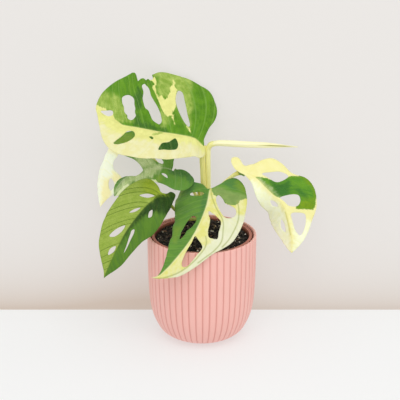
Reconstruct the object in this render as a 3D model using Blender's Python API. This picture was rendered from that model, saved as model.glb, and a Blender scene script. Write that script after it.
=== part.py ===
"""Variegated monstera adansonii in a ribbed pot, with its grow pot, soil, stem and leaves.

Metres, +Z up. The pot stands on z = 0 with its axis on x = 0, y = 0, and the side that the
leaves turn to faces -Y. Lengths below are in millimetres and are scaled by MM where they
become vertices.
"""

import math

import bpy
import numpy as np
from mathutils.geometry import delaunay_2d_cdt

MM = 0.001
GAP = 0.3

# Ribbed outer pot
POT_HEIGHT = 140.0
POT_PROFILE = [(0.0, 31.5), (1.2, 34.5), (4.0, 39.5), (8.0, 46.5), (13.0, 52.3), (20.0, 57.2),
               (29.0, 62.2), (40.0, 65.9), (54.0, 68.0), (90.0, 69.5), (132.0, 70.0),
               (136.0, 70.0)]
POT_RIM_RADIUS = 70.0
POT_WALL = 3.0
POT_FLOOR = 5.0
RIB_COUNT = 48
RIB_DEPTH = 1.1
RIB_FOOT_FADE = 8.0
RIB_RIM_BAND = 5.0
RIB_RIM_SHARE = 0.5
RIM_ROUND = 1.2
RIM_SOFTENED = 0.4
BORE_HEIGHTS = (98.0, 63.0, 39.0, 22.0, 12.0)
BORE_INSET = 0.4
BORE_FLOOR_HEIGHT = 8.0
BORE_FLOOR_INSET = 1.5

# One rib of the section, as shares of the pitch and of the groove's depth
RIB_SECTION = ((0.0, 1.0), (0.17, 0.12), (0.5, 0.0), (0.83, 0.12))
RIB_SAMPLES = len(RIB_SECTION)

# Grow pot that stands inside it
GROW_BASE_Z = POT_FLOOR + GAP
GROW_RIM_Z = 138.5
GROW_BASE_RADIUS = 42.0
GROW_RIM_RADIUS = 62.0
GROW_WALL = 1.3
GROW_LIP_WIDTH = 1.6
GROW_LIP_HEIGHT = 7.0
GROW_FLOOR = 2.2
GROW_FOOT_BEVEL = 1.5
GROW_LIP_BEVEL = 0.8
GROW_SLOPE = (GROW_RIM_RADIUS - GROW_BASE_RADIUS) / (GROW_RIM_Z - GROW_BASE_Z)
ROUND_SIDES = 48

# Soil
SOIL_LEVEL = 134.0
SOIL_MOUND = 3.0
SOIL_LUMP = 1.1
SOIL_MOUND_REACH = 34.0
SOIL_EDGE_DROP = 1.5
SOIL_CLEARANCE = 0.45
SOIL_RINGS = (0.93, 0.8, 0.66, 0.52, 0.38, 0.25, 0.12)

# Blades
BLADE_THICKNESS = 0.8
RIB_THICKNESS = 1.4
MARGIN_STEP = 6.5
HOLE_STEP = 5.0
INNER_STEP = 11.5
ROLL_SIDES = 10

STATIONS = (0.0, 0.5, 1.0)
FRAME_WINDOW = 0.22
RIB_START = 2.0
RIB_END = 3.0
RIB_STEP_SHARE = 0.8
RIB_TIP_SHARE = 0.2
SAME_POINT = 1e-5
RIB_SPAN_STEPS = 24
FLATTEST_BEND = 1e-6
CURVE_STEPS = 12

# Stem and stalks
STEM_FOOT = (4.0, 38.0)
STALK_STEP = 9.0
SECTION_SIDE = (0.0, 1.0, 0.3)


def clear_scene():
    for item in list(bpy.data.objects):
        bpy.data.objects.remove(item, do_unlink=True)


def material(name, colour, roughness):
    made = bpy.data.materials.new(name)
    made.use_nodes = True
    shader = made.node_tree.nodes["Principled BSDF"]
    shader.inputs["Base Color"].default_value = (*colour, 1.0)
    shader.inputs["Roughness"].default_value = roughness
    shader.inputs["Metallic"].default_value = 0.0
    return made


def add_object(name, vertices, faces, slot):
    """One named solid from vertices in millimetres."""
    mesh = bpy.data.meshes.new(name)
    mesh.from_pydata([tuple(float(c) * MM for c in v) for v in vertices], [], faces)
    mesh.validate()
    mesh.materials.append(slot)
    for face in mesh.polygons:
        face.use_smooth = True
    made = bpy.data.objects.new(name, mesh)
    bpy.context.collection.objects.link(made)
    return made


def smooth_path(points, per_span, closed=False):
    """Centripetal curve through the points, with per_span steps between two of them."""
    points = np.asarray(points, float)
    count = len(points)
    if closed:
        knots = np.vstack([points[-1], points, points[0], points[1]])
        spans = count
    else:
        knots = np.vstack([2 * points[0] - points[1], points, 2 * points[-1] - points[-2]])
        spans = count - 1
    path = []
    for i in range(spans):
        p0, p1, p2, p3 = knots[i:i + 4]
        t1 = np.linalg.norm(p1 - p0) ** 0.5
        t2 = t1 + np.linalg.norm(p2 - p1) ** 0.5
        t3 = t2 + np.linalg.norm(p3 - p2) ** 0.5
        for t in np.linspace(t1, t2, per_span, endpoint=False):
            a1 = (t1 - t) / t1 * p0 + t / t1 * p1
            a2 = (t2 - t) / (t2 - t1) * p1 + (t - t1) / (t2 - t1) * p2
            a3 = (t3 - t) / (t3 - t2) * p2 + (t - t2) / (t3 - t2) * p3
            b1 = (t2 - t) / t2 * a1 + t / t2 * a2
            b2 = (t3 - t) / (t3 - t1) * a2 + (t - t1) / (t3 - t1) * a3
            path.append((t2 - t) / (t2 - t1) * b1 + (t - t1) / (t2 - t1) * b2)
    if not closed:
        path.append(points[-1])
    return np.array(path)


def even_steps(path, step, closed=False):
    """Points at about even distances along a path."""
    if closed:
        path = np.vstack([path, path[:1]])
    length = np.r_[0, np.cumsum(np.linalg.norm(np.diff(path, axis=0), axis=1))]
    count = max(3, int(round(length[-1] / step)))
    at = np.linspace(0, length[-1], count + 1)
    even = np.stack([np.interp(at, length, path[:, k]) for k in range(path.shape[1])], -1)
    return even[:-1] if closed else even


def inside(polygon, points):
    """Which of the points lie inside the polygon."""
    found = np.zeros(len(points), bool)
    ends = np.roll(polygon, -1, axis=0)
    for (x0, y0), (x1, y1) in zip(polygon, ends):
        crosses = (y0 > points[:, 1]) != (y1 > points[:, 1])
        with np.errstate(divide="ignore", invalid="ignore"):
            x = x0 + (points[:, 1] - y0) / (y1 - y0) * (x1 - x0)
        found ^= crosses & (points[:, 0] < x)
    return found


class Blade:
    """A leaf blade: flat coordinates (along the midrib, across it) bent into space.

    rib is the midrib from the stalk to the tip. face is where the upper side looks at the
    base, middle and tip. fold is each half's tilt off that plane at the midrib and curl is
    what it gains per 100 mm outwards, both at base, middle and tip, left half first.
    """

    def __init__(self, rib, face, fold, curl, window=FRAME_WINDOW):
        self.rib = smooth_path(rib, RIB_SPAN_STEPS)
        steps = np.linalg.norm(np.diff(self.rib, axis=0), axis=1)
        self.along = np.r_[0, np.cumsum(steps)]
        self.length = self.along[-1]
        self.window = window
        self.face = np.asarray(face, float)
        self.fold = np.radians(np.asarray(fold, float))
        self.curl = np.radians(np.asarray(curl, float)) / 100.0
        self.start = self.rib[3] - self.rib[0]
        self.start = self.start / np.linalg.norm(self.start)
        self.end = self.rib[-1] - self.rib[-4]
        self.end = self.end / np.linalg.norm(self.end)

    def centre(self, s):
        """Point of the midrib, drawn out straight past both ends."""
        held = np.clip(s, 0, self.length)
        point = np.stack([np.interp(held, self.along, self.rib[:, k]) for k in range(3)], -1)
        before = np.minimum(s, 0)[..., None] * self.start
        after = np.maximum(s - self.length, 0)[..., None] * self.end
        return point + before + after

    def blend(self, values, s):
        """Value at s between those given for the base, the middle and the tip."""
        share = np.clip(s / self.length, 0, 1)
        return np.interp(share, STATIONS, values)

    def place(self, s, t):
        """Points in space of the flat coordinates s and t."""
        s = np.asarray(s, float)
        t = np.asarray(t, float)
        reach = self.window * self.length
        forward = self.centre(s + reach) - self.centre(s - reach)
        forward /= np.linalg.norm(forward, axis=-1, keepdims=True)
        up = np.stack([self.blend(self.face[:, k], s) for k in range(3)], -1)
        up = up - (up * forward).sum(-1, keepdims=True) * forward
        up /= np.linalg.norm(up, axis=-1, keepdims=True)
        side = np.cross(forward, up)
        width = np.abs(t)
        tilt = np.where(t >= 0, self.blend(self.fold[1], s), self.blend(self.fold[0], s))
        bend = np.where(t >= 0, self.blend(self.curl[1], s), self.blend(self.curl[0], s))
        bend = np.where(np.abs(bend) < FLATTEST_BEND, FLATTEST_BEND, bend)
        out = (np.sin(tilt + bend * width) - np.sin(tilt)) / bend
        rise = (np.cos(tilt) - np.cos(tilt + bend * width)) / bend
        return self.centre(s) + (np.sign(t) * out)[..., None] * side + rise[..., None] * up

    def normal(self, s, t, reach=0.8):
        """Unit vectors out of the upper side."""
        along = self.place(s + reach, t) - self.place(s - reach, t)
        across = self.place(s, t + reach) - self.place(s, t - reach)
        up = np.cross(across, along)
        return up / np.linalg.norm(up, axis=-1, keepdims=True)


LEAVES = {
    "leaf_top": dict(
        rib=[(1, 30, 249), (-9, 27, 259), (-28, 20, 266), (-53, 10, 273), (-77, 0, 281),
             (-101, -7, 288), (-118, -10, 297), (-129, -8, 306)],
        face=[(0.1, -0.85, 0.55), (0.0, -0.85, 0.5), (-0.15, -0.85, 0.5)],
        fold=[(30, 35, 20), (0, 0, 10)],
        curl=[(-30, -40, -20), (-25, -30, -30)],
        window=0.4,
        margin=[(-3, 2), (4, 9), (5, 18), (1, 32), (-1, 46), (4, 61), (14, 74), (29, 80), (46, 84),
                (61, 82), (72, 77), (76, 71), (90, 66), (108, 60), (115, 69), (130, 66), (145, 51),
                (155, 35), (160, 19), (157, 4), (148, -7), (141, -16), (133, -28), (124, -38),
                (112, -44), (96, -47), (76, -46), (47, -41), (21, -32), (2, -22), (-8, -12)],
        corners=[(72, 77), (115, 69)],
        holes=[[(130, 29), (125, 36), (110, 36), (103, 22), (101, 11), (106, 8), (118, 18)],
               [(96, 54), (88, 58), (80, 55), (69, 36), (61, 16), (65, 8), (76, 14), (86, 29)],
               [(44, 57), (40, 60), (33, 42), (26, 20), (25, 12), (34, 20), (43, 36)],
               [(146, 4), (143, 9), (135, 11), (132, 7), (138, 3)],
               [(121, -32), (115, -17), (107, -8), (100, -9), (100, -18), (109, -27)],
               [(81, -14), (77, -11), (73, -13), (77, -16)],
               [(72, -33), (68, -24), (55, -16), (44, -9), (41, -18), (45, -28), (60, -30)]]),
    "leaf_front": dict(
        rib=[(10, -8, 201), (6, -27, 188), (-2, -47, 173), (-14, -65, 156), (-30, -79, 139),
             (-44, -86, 125), (-61, -90, 116)],
        face=[(0.1, -0.7, 0.7), (0.1, -0.85, 0.5), (0.2, -0.95, 0.3)],
        fold=[(5, 5, 10), (-45, -45, -30)],
        curl=[(-30, -30, -10), (-10, -10, 0)],
        margin=[(-3, 2), (-14, 14), (-23, 30), (-28, 42), (-23, 51), (-12, 56), (3, 58), (24, 56),
                (47, 48), (76, 35), (100, 19), (116, 8), (129, 2), (142, 0), (131, -7),
                (118, -14), (103, -21), (87, -27), (76, -32), (66, -40), (54, -47), (38, -50),
                (18, -50), (-2, -48), (-18, -42), (-26, -30), (-22, -20), (-11, -10)],
        corners=[(142, 0)],
        holes=[[(-2, 32), (-3, 22), (1, 10), (5, 12), (3, 24)],
               [(40, 9), (39, 16), (48, 18), (68, 22), (78, 18), (66, 13), (53, 6)],
               [(30, -5), (31, -14), (36, -25), (48, -28), (58, -27), (60, -19), (50, -13), (39, -9)],
               [(66, -3), (69, -13), (77, -18), (92, -20), (104, -17), (104, -9), (90, -5), (76, -3)],
               [(8, -9), (6, -14), (13, -22), (17, -33), (24, -38), (29, -32), (24, -18), (15, -10)]]),
    "leaf_left": dict(
        rib=[(-46.8, -16, 195.1), (-54.8, -20, 196.1), (-66.8, -28, 190.2), (-80.7, -38, 177.2),
             (-93.7, -47, 161.3), (-102.6, -54, 146.4), (-111.6, -60, 129.4), (-121.6, -64, 106.5)],
        face=[(-0.1, -0.6, 0.75), (-0.15, -0.8, 0.55), (-0.2, -0.9, 0.35)],
        fold=[(-10, -20, 0), (-5, -10, 0)],
        curl=[(-10, -10, 0), (-10, -10, 0)],
        margin=[(1, 8), (1, 18), (3, 27), (10, 33), (22, 39), (37, 43), (59, 41), (78, 35),
                (99, 26), (114, 16), (126, 7), (135, 0), (121, -10), (107, -16), (93, -20),
                (75, -26), (59, -30), (40, -32), (15, -30), (-4, -16), (-15, -3), (-17, 4),
                (-12, 8), (-4, 5)],
        corners=[(135, 0)],
        holes=[[(25, 18), (17, 13), (12, 4), (20, 7)],
               [(48, 12), (40, 9), (35, 4), (43, 6)],
               [(85, 17), (76, 15), (64, 6), (72, 5), (83, 11)],
               [(106, 7), (98, 8), (92, 3), (99, 2)],
               [(38, -12), (31, -8), (26, -9), (33, -14)],
               [(95, -10), (79, -7), (63, -7), (79, -12)]]),
    "leaf_right": dict(
        rib=[(56, 0, 221), (68, -3, 217), (80, -8, 207), (91, -12, 196), (100, -15, 187),
             (106, -18, 176), (111, -22, 158), (114, -25, 140), (114, -27, 123)],
        face=[(0.1, -0.55, 0.8), (0.3, -0.75, 0.6), (0.3, -0.9, 0.35)],
        fold=[(0, 0, 0), (-20, -72, -62)],
        curl=[(-10, -20, 0), (-10, -10, 0)],
        margin=[(-1, 3), (-10, 3), (-18, 0), (-24, -7), (-24, -17), (-17, -21), (-8, -19),
                (1, -17), (7, -27), (16, -39), (28, -42), (40, -42), (53, -53), (66, -54),
                (79, -47), (91, -33), (103, -23), (116, -12), (126, 0), (120, 9), (108, 20),
                (95, 28), (80, 32), (50, 26), (28, 18), (10, 8)],
        corners=[(126, 0)],
        holes=[[(17, -9), (24, -20), (32, -31), (40, -35), (40, -25), (36, -15), (26, -11)],
               [(53, -3), (55, -12), (63, -27), (69, -25), (72, -18), (67, -7), (59, -4)],
               [(77, -6), (79, -16), (84, -25), (93, -22), (105, -12), (100, -7), (88, -5)],
               [(48, 9), (53, 6), (61, 8), (57, 14)],
               [(80, 12), (86, 8), (99, 9), (93, 15)]]),
    "leaf_middle": dict(
        rib=[(-35.1, 30, 214.3), (-48.1, 28.5, 218.2), (-66.2, 26, 218), (-81.3, 22, 216),
             (-97.4, 16.5, 208.8), (-107.4, 13, 198.6), (-112.5, 12, 186.1)],
        face=[(0.0, -0.7, 0.7), (-0.1, -0.7, 0.7), (-0.3, -0.7, 0.6)],
        fold=[(20, 10, 0), (0, 0, 0)],
        curl=[(-40, -40, -20), (-10, -10, -10)],
        margin=[(1, 4), (2, 14), (-3, 30), (-2, 45), (14, 58), (38, 62), (52, 60), (60, 53),
                (59, 42), (53, 28), (46, 18), (42, 10), (40, 4), (48, 3), (62, 4), (76, 6),
                (87, 4), (95, 0), (88, -9), (72, -13), (48, -18), (30, -21), (14, -27),
                (-4, -31), (-18, -26), (-27, -10), (-20, -1), (-10, 1)],
        corners=[(95, 0)],
        holes=[[(25, 14), (20, 15), (12, 9), (16, 6), (22, 10)],
               [(15, -11), (10, -8), (6, -14), (11, -15)]]),
    "leaf_rear": dict(
        rib=[(-116.9, 60, 234.5), (-123.9, 62, 221.8), (-128.8, 62, 207.3), (-132.7, 61, 190.6),
             (-133.7, 59, 172.8), (-133.7, 55, 153.7)],
        face=[(-0.2, -0.8, 0.5), (-0.3, -0.8, 0.4), (-0.3, -0.9, 0.3)],
        fold=[(0, 0, 0), (-10, -50, -40)],
        curl=[(-10, -10, 0), (-10, -10, 0)],
        margin=[(-3, 2), (-7, 8), (0, 13), (15, 12), (35, 11), (55, 9), (70, 5), (83, 0),
                (73, -9), (63, -20), (49, -30), (33, -28), (24, -14), (12, -11), (3, -12),
                (-5, -8)],
        corners=[(83, 0)],
        holes=[[(37, -7), (41, -12), (51, -13), (55, -10), (47, -6)]]),
}

VINE = [(5, 41, 98), (5, 40, 115), (4, 38, 137), (3.5, 36, 156), (3.5, 35, 168)]
VINE_RADII = (4.2, 4.4, 4.6, 5.0, 6.0)
VINE_HOLE_FLOOR = (5, 41, 96)
VINE_HOLE_SPANS = 4
VINE_HOLE_GAP = 0.55
STALK_SIDES = 8
STALKS = {
    "petiole_top": ([(0.2, 33, 169), (1.4, 31, 178), (2, 30, 191), (1.4, 31, 212), (0.6, 32, 231),
                     (1.7, 33.2, 246.1)], (3.4, 3.2, 3.0, 2.8)),
    "petiole_furled": ([(7.4, 36, 168.7), (7.9, 35.5, 189), (7.9, 35, 211), (7.8, 34.5, 233),
                        (8.4, 34, 243), (11.6, 32, 249), (17.3, 30.2, 251)], (3.2, 3.0, 2.9, 2.8)),
    "petiole_front": ([(4.5, 28, 158), (6.5, 16, 179), (9, 2, 194), (9.7, -5, 198.1)],
                      (2.5, 2.2, 2.1)),
    "petiole_left": ([(-0.3, 31.9, 142), (-7, 26, 149), (-18, 22, 151.1),
                      (-27.7, 23, 157.6), (-34.3, 20, 164.2), (-39.5, 7, 175.1),
                      (-43.1, -4, 183.2), (-46.1, -15.1, 191.4)], (2.4, 2.1, 1.9)),
    "petiole_right": ([(11.4, 35, 160), (12.8, 29, 172), (16.2, 22, 185.4), (24.5, 19, 197.4),
                       (34.6, 15, 208.6), (43.3, 9.5, 216.8), (50.1, 5, 220.3), (54, 3.2, 219.1)],
                      (2.4, 2.1, 1.9)),
    "petiole_middle": ([(-2.8, 40.5, 158), (-3.4, 41, 174), (-4.5, 41.5, 183), (-9, 41.5, 188),
                        (-16.6, 41.5, 194.2), (-25, 39, 203.2), (-34, 33.3, 213.7)],
                       (2.4, 2.1, 1.9)),
    "petiole_rear": ([(0.9, 43.8, 141), (-5, 50, 167), (-15, 57, 182), (-33.3, 63, 191.7),
                      (-52.9, 67, 206.3), (-67.3, 69.5, 220.6), (-86, 69, 231), (-105, 65, 235),
                      (-115, 61.7, 235)], (2.2, 1.9, 1.7)),
}
SPEAR = [(18.9, 29.8, 251.4), (30, 28.5, 251.6), (55, 25, 251.2), (85, 22, 251), (122, 20, 249.4)]
SPEAR_RADII = (3.2, 4.4, 4.2, 3.7, 3.3, 2.6, 1.7, 1.0, 0.6)
SPEAR_OVERLAP = 0.16

LEAF_SLOTS = {
    "leaf_top": "leaf_top_blade",
    "leaf_front": "leaf_front_blade",
    "leaf_left": "leaf_left_blade",
    "leaf_right": "leaf_right_blade",
    "leaf_middle": "leaf_middle_blade",
    "leaf_rear": "leaf_rear_blade",
}


def leaf_outline(margin, corners, step):
    """The closed margin, smooth between the corners it keeps sharp."""
    margin = [tuple(p) for p in margin]
    first = margin.index(corners[0])
    ring = margin[first:] + margin[:first + 1]
    cuts = [0] + [ring.index(c) for c in corners[1:]] + [len(ring) - 1]
    pieces = []
    for a, b in zip(cuts[:-1], cuts[1:]):
        span = ring[a:b + 1]
        if len(span) > 2:
            span = smooth_path(span, CURVE_STEPS)
        pieces.append(even_steps(np.asarray(span, float), step)[:-1])
    return np.vstack(pieces)


def leaf_net(length, margin, holes, step):
    """Flat triangles that fill the margin, leave the holes open and follow the midrib.
    Between the margin and the midrib the corners lie in staggered rows, an even step apart."""
    rib_s = np.arange(RIB_START, length - RIB_END, step * RIB_STEP_SHARE)
    rib = np.stack([rib_s, np.zeros_like(rib_s)], -1)
    rib = rib[inside(margin, rib)]
    low, high = margin.min(axis=0), margin.max(axis=0)
    inner = []
    for row, y in enumerate(np.arange(low[1], high[1], step * math.sqrt(0.75))):
        for x in np.arange(low[0] + (row % 2) * step / 2, high[0], step):
            inner.append((x, y))
    inner = np.array(inner)
    inner = inner[inside(margin, inner)]
    for hole in holes:
        inner = inner[~inside(hole, inner)]
    fixed = np.vstack([margin, rib] + list(holes))
    apart = np.linalg.norm(inner[:, None, :] - fixed[None, :, :], axis=-1).min(axis=1)
    inner = inner[(apart > step / 2) & (np.abs(inner[:, 1]) > step / 2)]
    points = [margin] + list(holes) + [rib, inner]
    edges = []
    start = 0
    for ring in [margin] + list(holes):
        count = len(ring)
        edges += [(start + k, start + (k + 1) % count) for k in range(count)]
        start += count
    edges += [(start + k, start + k + 1) for k in range(len(rib) - 1)]
    flat, _, faces, _, _, _ = delaunay_2d_cdt(
        [tuple(p) for p in np.vstack(points)], edges, [], 0, SAME_POINT)
    flat = np.array([tuple(p) for p in flat])
    faces = np.array(faces)
    middle = flat[faces].mean(axis=1)
    keep = inside(margin, middle)
    for hole in holes:
        keep &= ~inside(hole, middle)
    return flat, faces[keep]


def build_leaf(name, shape, slot):
    """A blade as one closed shell: the bent net, its copy a thickness below and the edges.
    Along the midrib the underside is pushed down into a ridge."""
    blade = Blade(shape["rib"], shape["face"], shape["fold"], shape["curl"],
                  shape.get("window", FRAME_WINDOW))
    margin = leaf_outline(shape["margin"], shape["corners"], MARGIN_STEP)
    holes = [even_steps(smooth_path(h, CURVE_STEPS, closed=True), HOLE_STEP, closed=True)
             for h in shape["holes"]]
    flat, faces = leaf_net(blade.length, margin, holes, INNER_STEP)
    used = np.unique(faces)
    flat = flat[used]
    faces = np.searchsorted(used, faces)
    s, t = flat[:, 0], flat[:, 1]
    centre = blade.place(s, t)
    up = blade.normal(s, t)
    taper = np.clip(1.0 - s / blade.length, RIB_TIP_SHARE, 1.0)
    below = BLADE_THICKNESS / 2 + np.where(np.abs(t) < SAME_POINT, RIB_THICKNESS * taper, 0.0)
    top = centre + up * BLADE_THICKNESS / 2
    bottom = centre - up * below[:, None]
    count = len(flat)
    upper = [(int(a), int(c), int(b)) for a, b, c in faces]
    lower = [(a + count, b + count, c + count) for a, c, b in upper]
    directed = {}
    for face in upper:
        for k in range(3):
            directed[(face[k], face[(k + 1) % 3])] = True
    walls = []
    for a, b in directed:
        if (b, a) not in directed:
            walls.append((b, a, a + count))
            walls.append((b, a + count, b + count))
    return add_object(name, np.vstack([top, bottom]), upper + lower + walls, slot)


def tube(name, path, radii, sides, slot, step, overlap=0.0):
    """A closed bar along a smooth path, its radii blended from start to end. overlap lifts
    the section's radius step by step round it, as in a rolled sheet."""
    line = even_steps(smooth_path(path, RIB_SPAN_STEPS), step)
    count = len(line)
    share = np.linspace(0, 1, count)
    radius = np.interp(share, np.linspace(0, 1, len(radii)), radii)
    tangent = np.gradient(line, axis=0)
    tangent /= np.linalg.norm(tangent, axis=1, keepdims=True)
    side = np.cross(tangent[0], SECTION_SIDE)
    vertices = []
    for k in range(count):
        side = side - side.dot(tangent[k]) * tangent[k]
        side /= np.linalg.norm(side)
        other = np.cross(tangent[k], side)
        for a in range(sides):
            angle = 2 * math.pi * a / sides
            arm = radius[k] * (1 + overlap * a / sides)
            vertices.append(line[k] + arm * (math.cos(angle) * side + math.sin(angle) * other))
    faces = []
    for k in range(count - 1):
        for a in range(sides):
            b = (a + 1) % sides
            p, q = k * sides, (k + 1) * sides
            faces.append((p + a, p + b, q + b))
            faces.append((p + a, q + b, q + a))
    vertices.append(line[0])
    vertices.append(line[-1])
    first, last = len(vertices) - 2, len(vertices) - 1
    for a in range(sides):
        b = (a + 1) % sides
        faces.append((first, b, a))
        faces.append((last, (count - 1) * sides + a, (count - 1) * sides + b))
    return add_object(name, vertices, faces, slot)


def revolve(rings, sides):
    """Vertices and faces of a turned solid: rings of (radius, height) in order, bottom centre
    outwards, up and back in; a ring of radius zero is a single point."""
    vertices = []
    starts = []
    for radius, z in rings:
        starts.append(len(vertices))
        if radius == 0:
            vertices.append((0.0, 0.0, z))
            continue
        for a in range(sides):
            angle = 2 * math.pi * a / sides
            vertices.append((radius * math.cos(angle), radius * math.sin(angle), z))
    faces = []
    for k in range(len(rings) - 1):
        p, q = starts[k], starts[k + 1]
        for a in range(sides):
            b = (a + 1) % sides
            if rings[k][0] == 0:
                faces.append((p, q + b, q + a))
            elif rings[k + 1][0] == 0:
                faces.append((p + a, p + b, q))
            else:
                faces.append((p + a, p + b, q + b))
                faces.append((p + a, q + b, q + a))
    return vertices, faces


def profile_radius(z):
    """Outside radius of the pot at a height."""
    heights = [p[0] for p in POT_PROFILE]
    radii = [p[1] for p in POT_PROFILE]
    return float(np.interp(z, heights, radii))


def build_pot(slot):
    """Outer pot: flutes outside, fading into the plain rim and the foot, and a smooth bore."""
    around = RIB_COUNT * RIB_SAMPLES
    vertices = []
    faces = []
    starts = []

    def ring(radius, z, depth):
        starts.append(len(vertices))
        for rib in range(RIB_COUNT):
            for share, groove in RIB_SECTION:
                angle = 2 * math.pi * (rib + share) / RIB_COUNT - math.pi / 2
                r = radius - depth * groove
                vertices.append((r * math.cos(angle), r * math.sin(angle), z))

    for z, radius in POT_PROFILE:
        fade = min(1.0, z / RIB_FOOT_FADE)
        if z > POT_HEIGHT - RIB_RIM_BAND:
            fade = RIB_RIM_SHARE
        ring(radius, z, RIB_DEPTH * fade)
    ring(POT_RIM_RADIUS - RIM_SOFTENED, POT_HEIGHT - RIM_SOFTENED * 2, 0.0)
    ring(POT_RIM_RADIUS - RIM_ROUND, POT_HEIGHT, 0.0)
    outer = len(starts)
    for k in range(outer - 1):
        p, q = starts[k], starts[k + 1]
        for a in range(around):
            b = (a + 1) % around
            faces.append((p + a, p + b, q + b))
            faces.append((p + a, q + b, q + a))

    inner = [(POT_RIM_RADIUS - POT_WALL, POT_HEIGHT - RIM_SOFTENED)]
    for z in BORE_HEIGHTS:
        inner.append((profile_radius(z) - POT_WALL - BORE_INSET, z))
    inner.append((profile_radius(BORE_FLOOR_HEIGHT) - POT_WALL - BORE_FLOOR_INSET, POT_FLOOR))
    bore = []
    for radius, z in inner:
        bore.append(len(vertices))
        for rib in range(RIB_COUNT):
            angle = 2 * math.pi * rib / RIB_COUNT - math.pi / 2
            vertices.append((radius * math.cos(angle), radius * math.sin(angle), z))
    rim = starts[-1]
    for rib in range(RIB_COUNT):
        near = bore[0] + rib
        far = bore[0] + (rib + 1) % RIB_COUNT
        edge = [rim + rib * RIB_SAMPLES + k for k in range(RIB_SAMPLES)]
        edge.append(rim + ((rib + 1) * RIB_SAMPLES) % around)
        faces.append((edge[0], edge[1], near))
        faces.append((edge[1], edge[2], near))
        faces.append((edge[2], far, near))
        faces.append((edge[2], edge[3], far))
        faces.append((edge[3], edge[4], far))
    for k in range(len(bore) - 1):
        p, q = bore[k], bore[k + 1]
        for a in range(RIB_COUNT):
            b = (a + 1) % RIB_COUNT
            faces.append((p + a, p + b, q + b))
            faces.append((p + a, q + b, q + a))
    floor = len(vertices)
    vertices.append((0.0, 0.0, POT_FLOOR))
    foot = len(vertices)
    vertices.append((0.0, 0.0, 0.0))
    for a in range(RIB_COUNT):
        faces.append((bore[-1] + a, bore[-1] + (a + 1) % RIB_COUNT, floor))
    for a in range(around):
        faces.append((foot, starts[0] + (a + 1) % around, starts[0] + a))
    return add_object("pot", vertices, faces, slot)


def build_grow_pot(slot):
    """Thin tapered grow pot with a thicker band round its rim."""
    band_z = GROW_RIM_Z - GROW_LIP_HEIGHT
    wall = GROW_BASE_RADIUS + GROW_SLOPE * (band_z - GROW_BASE_Z)
    lip = GROW_RIM_RADIUS + GROW_LIP_WIDTH
    bore = GROW_RIM_RADIUS - GROW_WALL
    rings = [
        (0, GROW_BASE_Z),
        (GROW_BASE_RADIUS - GROW_FOOT_BEVEL, GROW_BASE_Z),
        (GROW_BASE_RADIUS, GROW_BASE_Z + GROW_FOOT_BEVEL),
        (wall, band_z),
        (wall + GROW_LIP_WIDTH, band_z + GROW_LIP_BEVEL),
        (lip, GROW_RIM_Z - GROW_LIP_BEVEL),
        (lip - GROW_LIP_BEVEL, GROW_RIM_Z),
        (bore + GROW_LIP_BEVEL, GROW_RIM_Z),
        (bore, GROW_RIM_Z - GROW_LIP_BEVEL),
        (GROW_BASE_RADIUS - GROW_WALL, GROW_BASE_Z + GROW_FLOOR),
        (0, GROW_BASE_Z + GROW_FLOOR),
    ]
    vertices, faces = revolve(rings, ROUND_SIDES)
    return add_object("grow_pot", vertices, faces, slot)


def soil_height(x, y):
    """Low mound towards the stem with lumps over it."""
    far = math.hypot(x - STEM_FOOT[0], y - STEM_FOOT[1])
    mound = SOIL_MOUND * math.exp(-(far / SOIL_MOUND_REACH) ** 2)
    lumps = math.sin(0.31 * x + 1.0) * math.cos(0.27 * y) + 0.6 * math.sin(0.53 * y - 0.41 * x + 2.0)
    return SOIL_LEVEL + mound + SOIL_LUMP * lumps


def build_soil(slot):
    """Root ball of soil that fills the grow pot, open only where the stem stands in it."""
    inside_floor = GROW_BASE_Z + GROW_FLOOR
    floor_z = inside_floor + GAP
    edge_z = SOIL_LEVEL - SOIL_EDGE_DROP

    def reach(z):
        return GROW_BASE_RADIUS - GROW_WALL + GROW_SLOPE * (z - inside_floor) - SOIL_CLEARANCE

    vertices = [(0.0, 0.0, floor_z)]
    rings = [(reach(floor_z), floor_z), (reach(edge_z), edge_z)]
    for radius, z in rings:
        for a in range(ROUND_SIDES):
            angle = 2 * math.pi * a / ROUND_SIDES
            vertices.append((radius * math.cos(angle), radius * math.sin(angle), z))
    full = reach(edge_z)
    for share in SOIL_RINGS:
        for a in range(ROUND_SIDES):
            angle = 2 * math.pi * a / ROUND_SIDES
            x = full * share * math.cos(angle)
            y = full * share * math.sin(angle)
            vertices.append((x, y, soil_height(x, y)))
    top = len(vertices)
    vertices.append((0.0, 0.0, soil_height(0.0, 0.0)))
    faces = []
    rows = len(SOIL_RINGS) + 2
    for a in range(ROUND_SIDES):
        b = (a + 1) % ROUND_SIDES
        faces.append((0, 1 + b, 1 + a))
        for k in range(rows - 1):
            p, q = 1 + k * ROUND_SIDES, 1 + (k + 1) * ROUND_SIDES
            faces.append((p + a, p + b, q + b))
            faces.append((p + a, q + b, q + a))
        last = 1 + (rows - 1) * ROUND_SIDES
        faces.append((last + a, last + b, top))
    return add_object("soil", vertices, faces, slot)


def cut(target, cutter):
    """Takes the cutter's volume out of the target and removes the cutter."""
    change = target.modifiers.new("cut", "BOOLEAN")
    change.operation = "DIFFERENCE"
    change.solver = "EXACT"
    change.object = cutter
    bpy.context.view_layer.objects.active = target
    bpy.ops.object.modifier_apply(modifier=change.name)
    bpy.data.objects.remove(cutter, do_unlink=True)


def build_stems(slot):
    """Short vine in the soil and the stalks that leave it, each a hair off its neighbours."""
    tube("vine_stem", VINE, VINE_RADII, STALK_SIDES, slot, STALK_STEP)
    for name, (path, radii) in STALKS.items():
        tube(name, path, radii, STALK_SIDES, slot, STALK_STEP)


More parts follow.
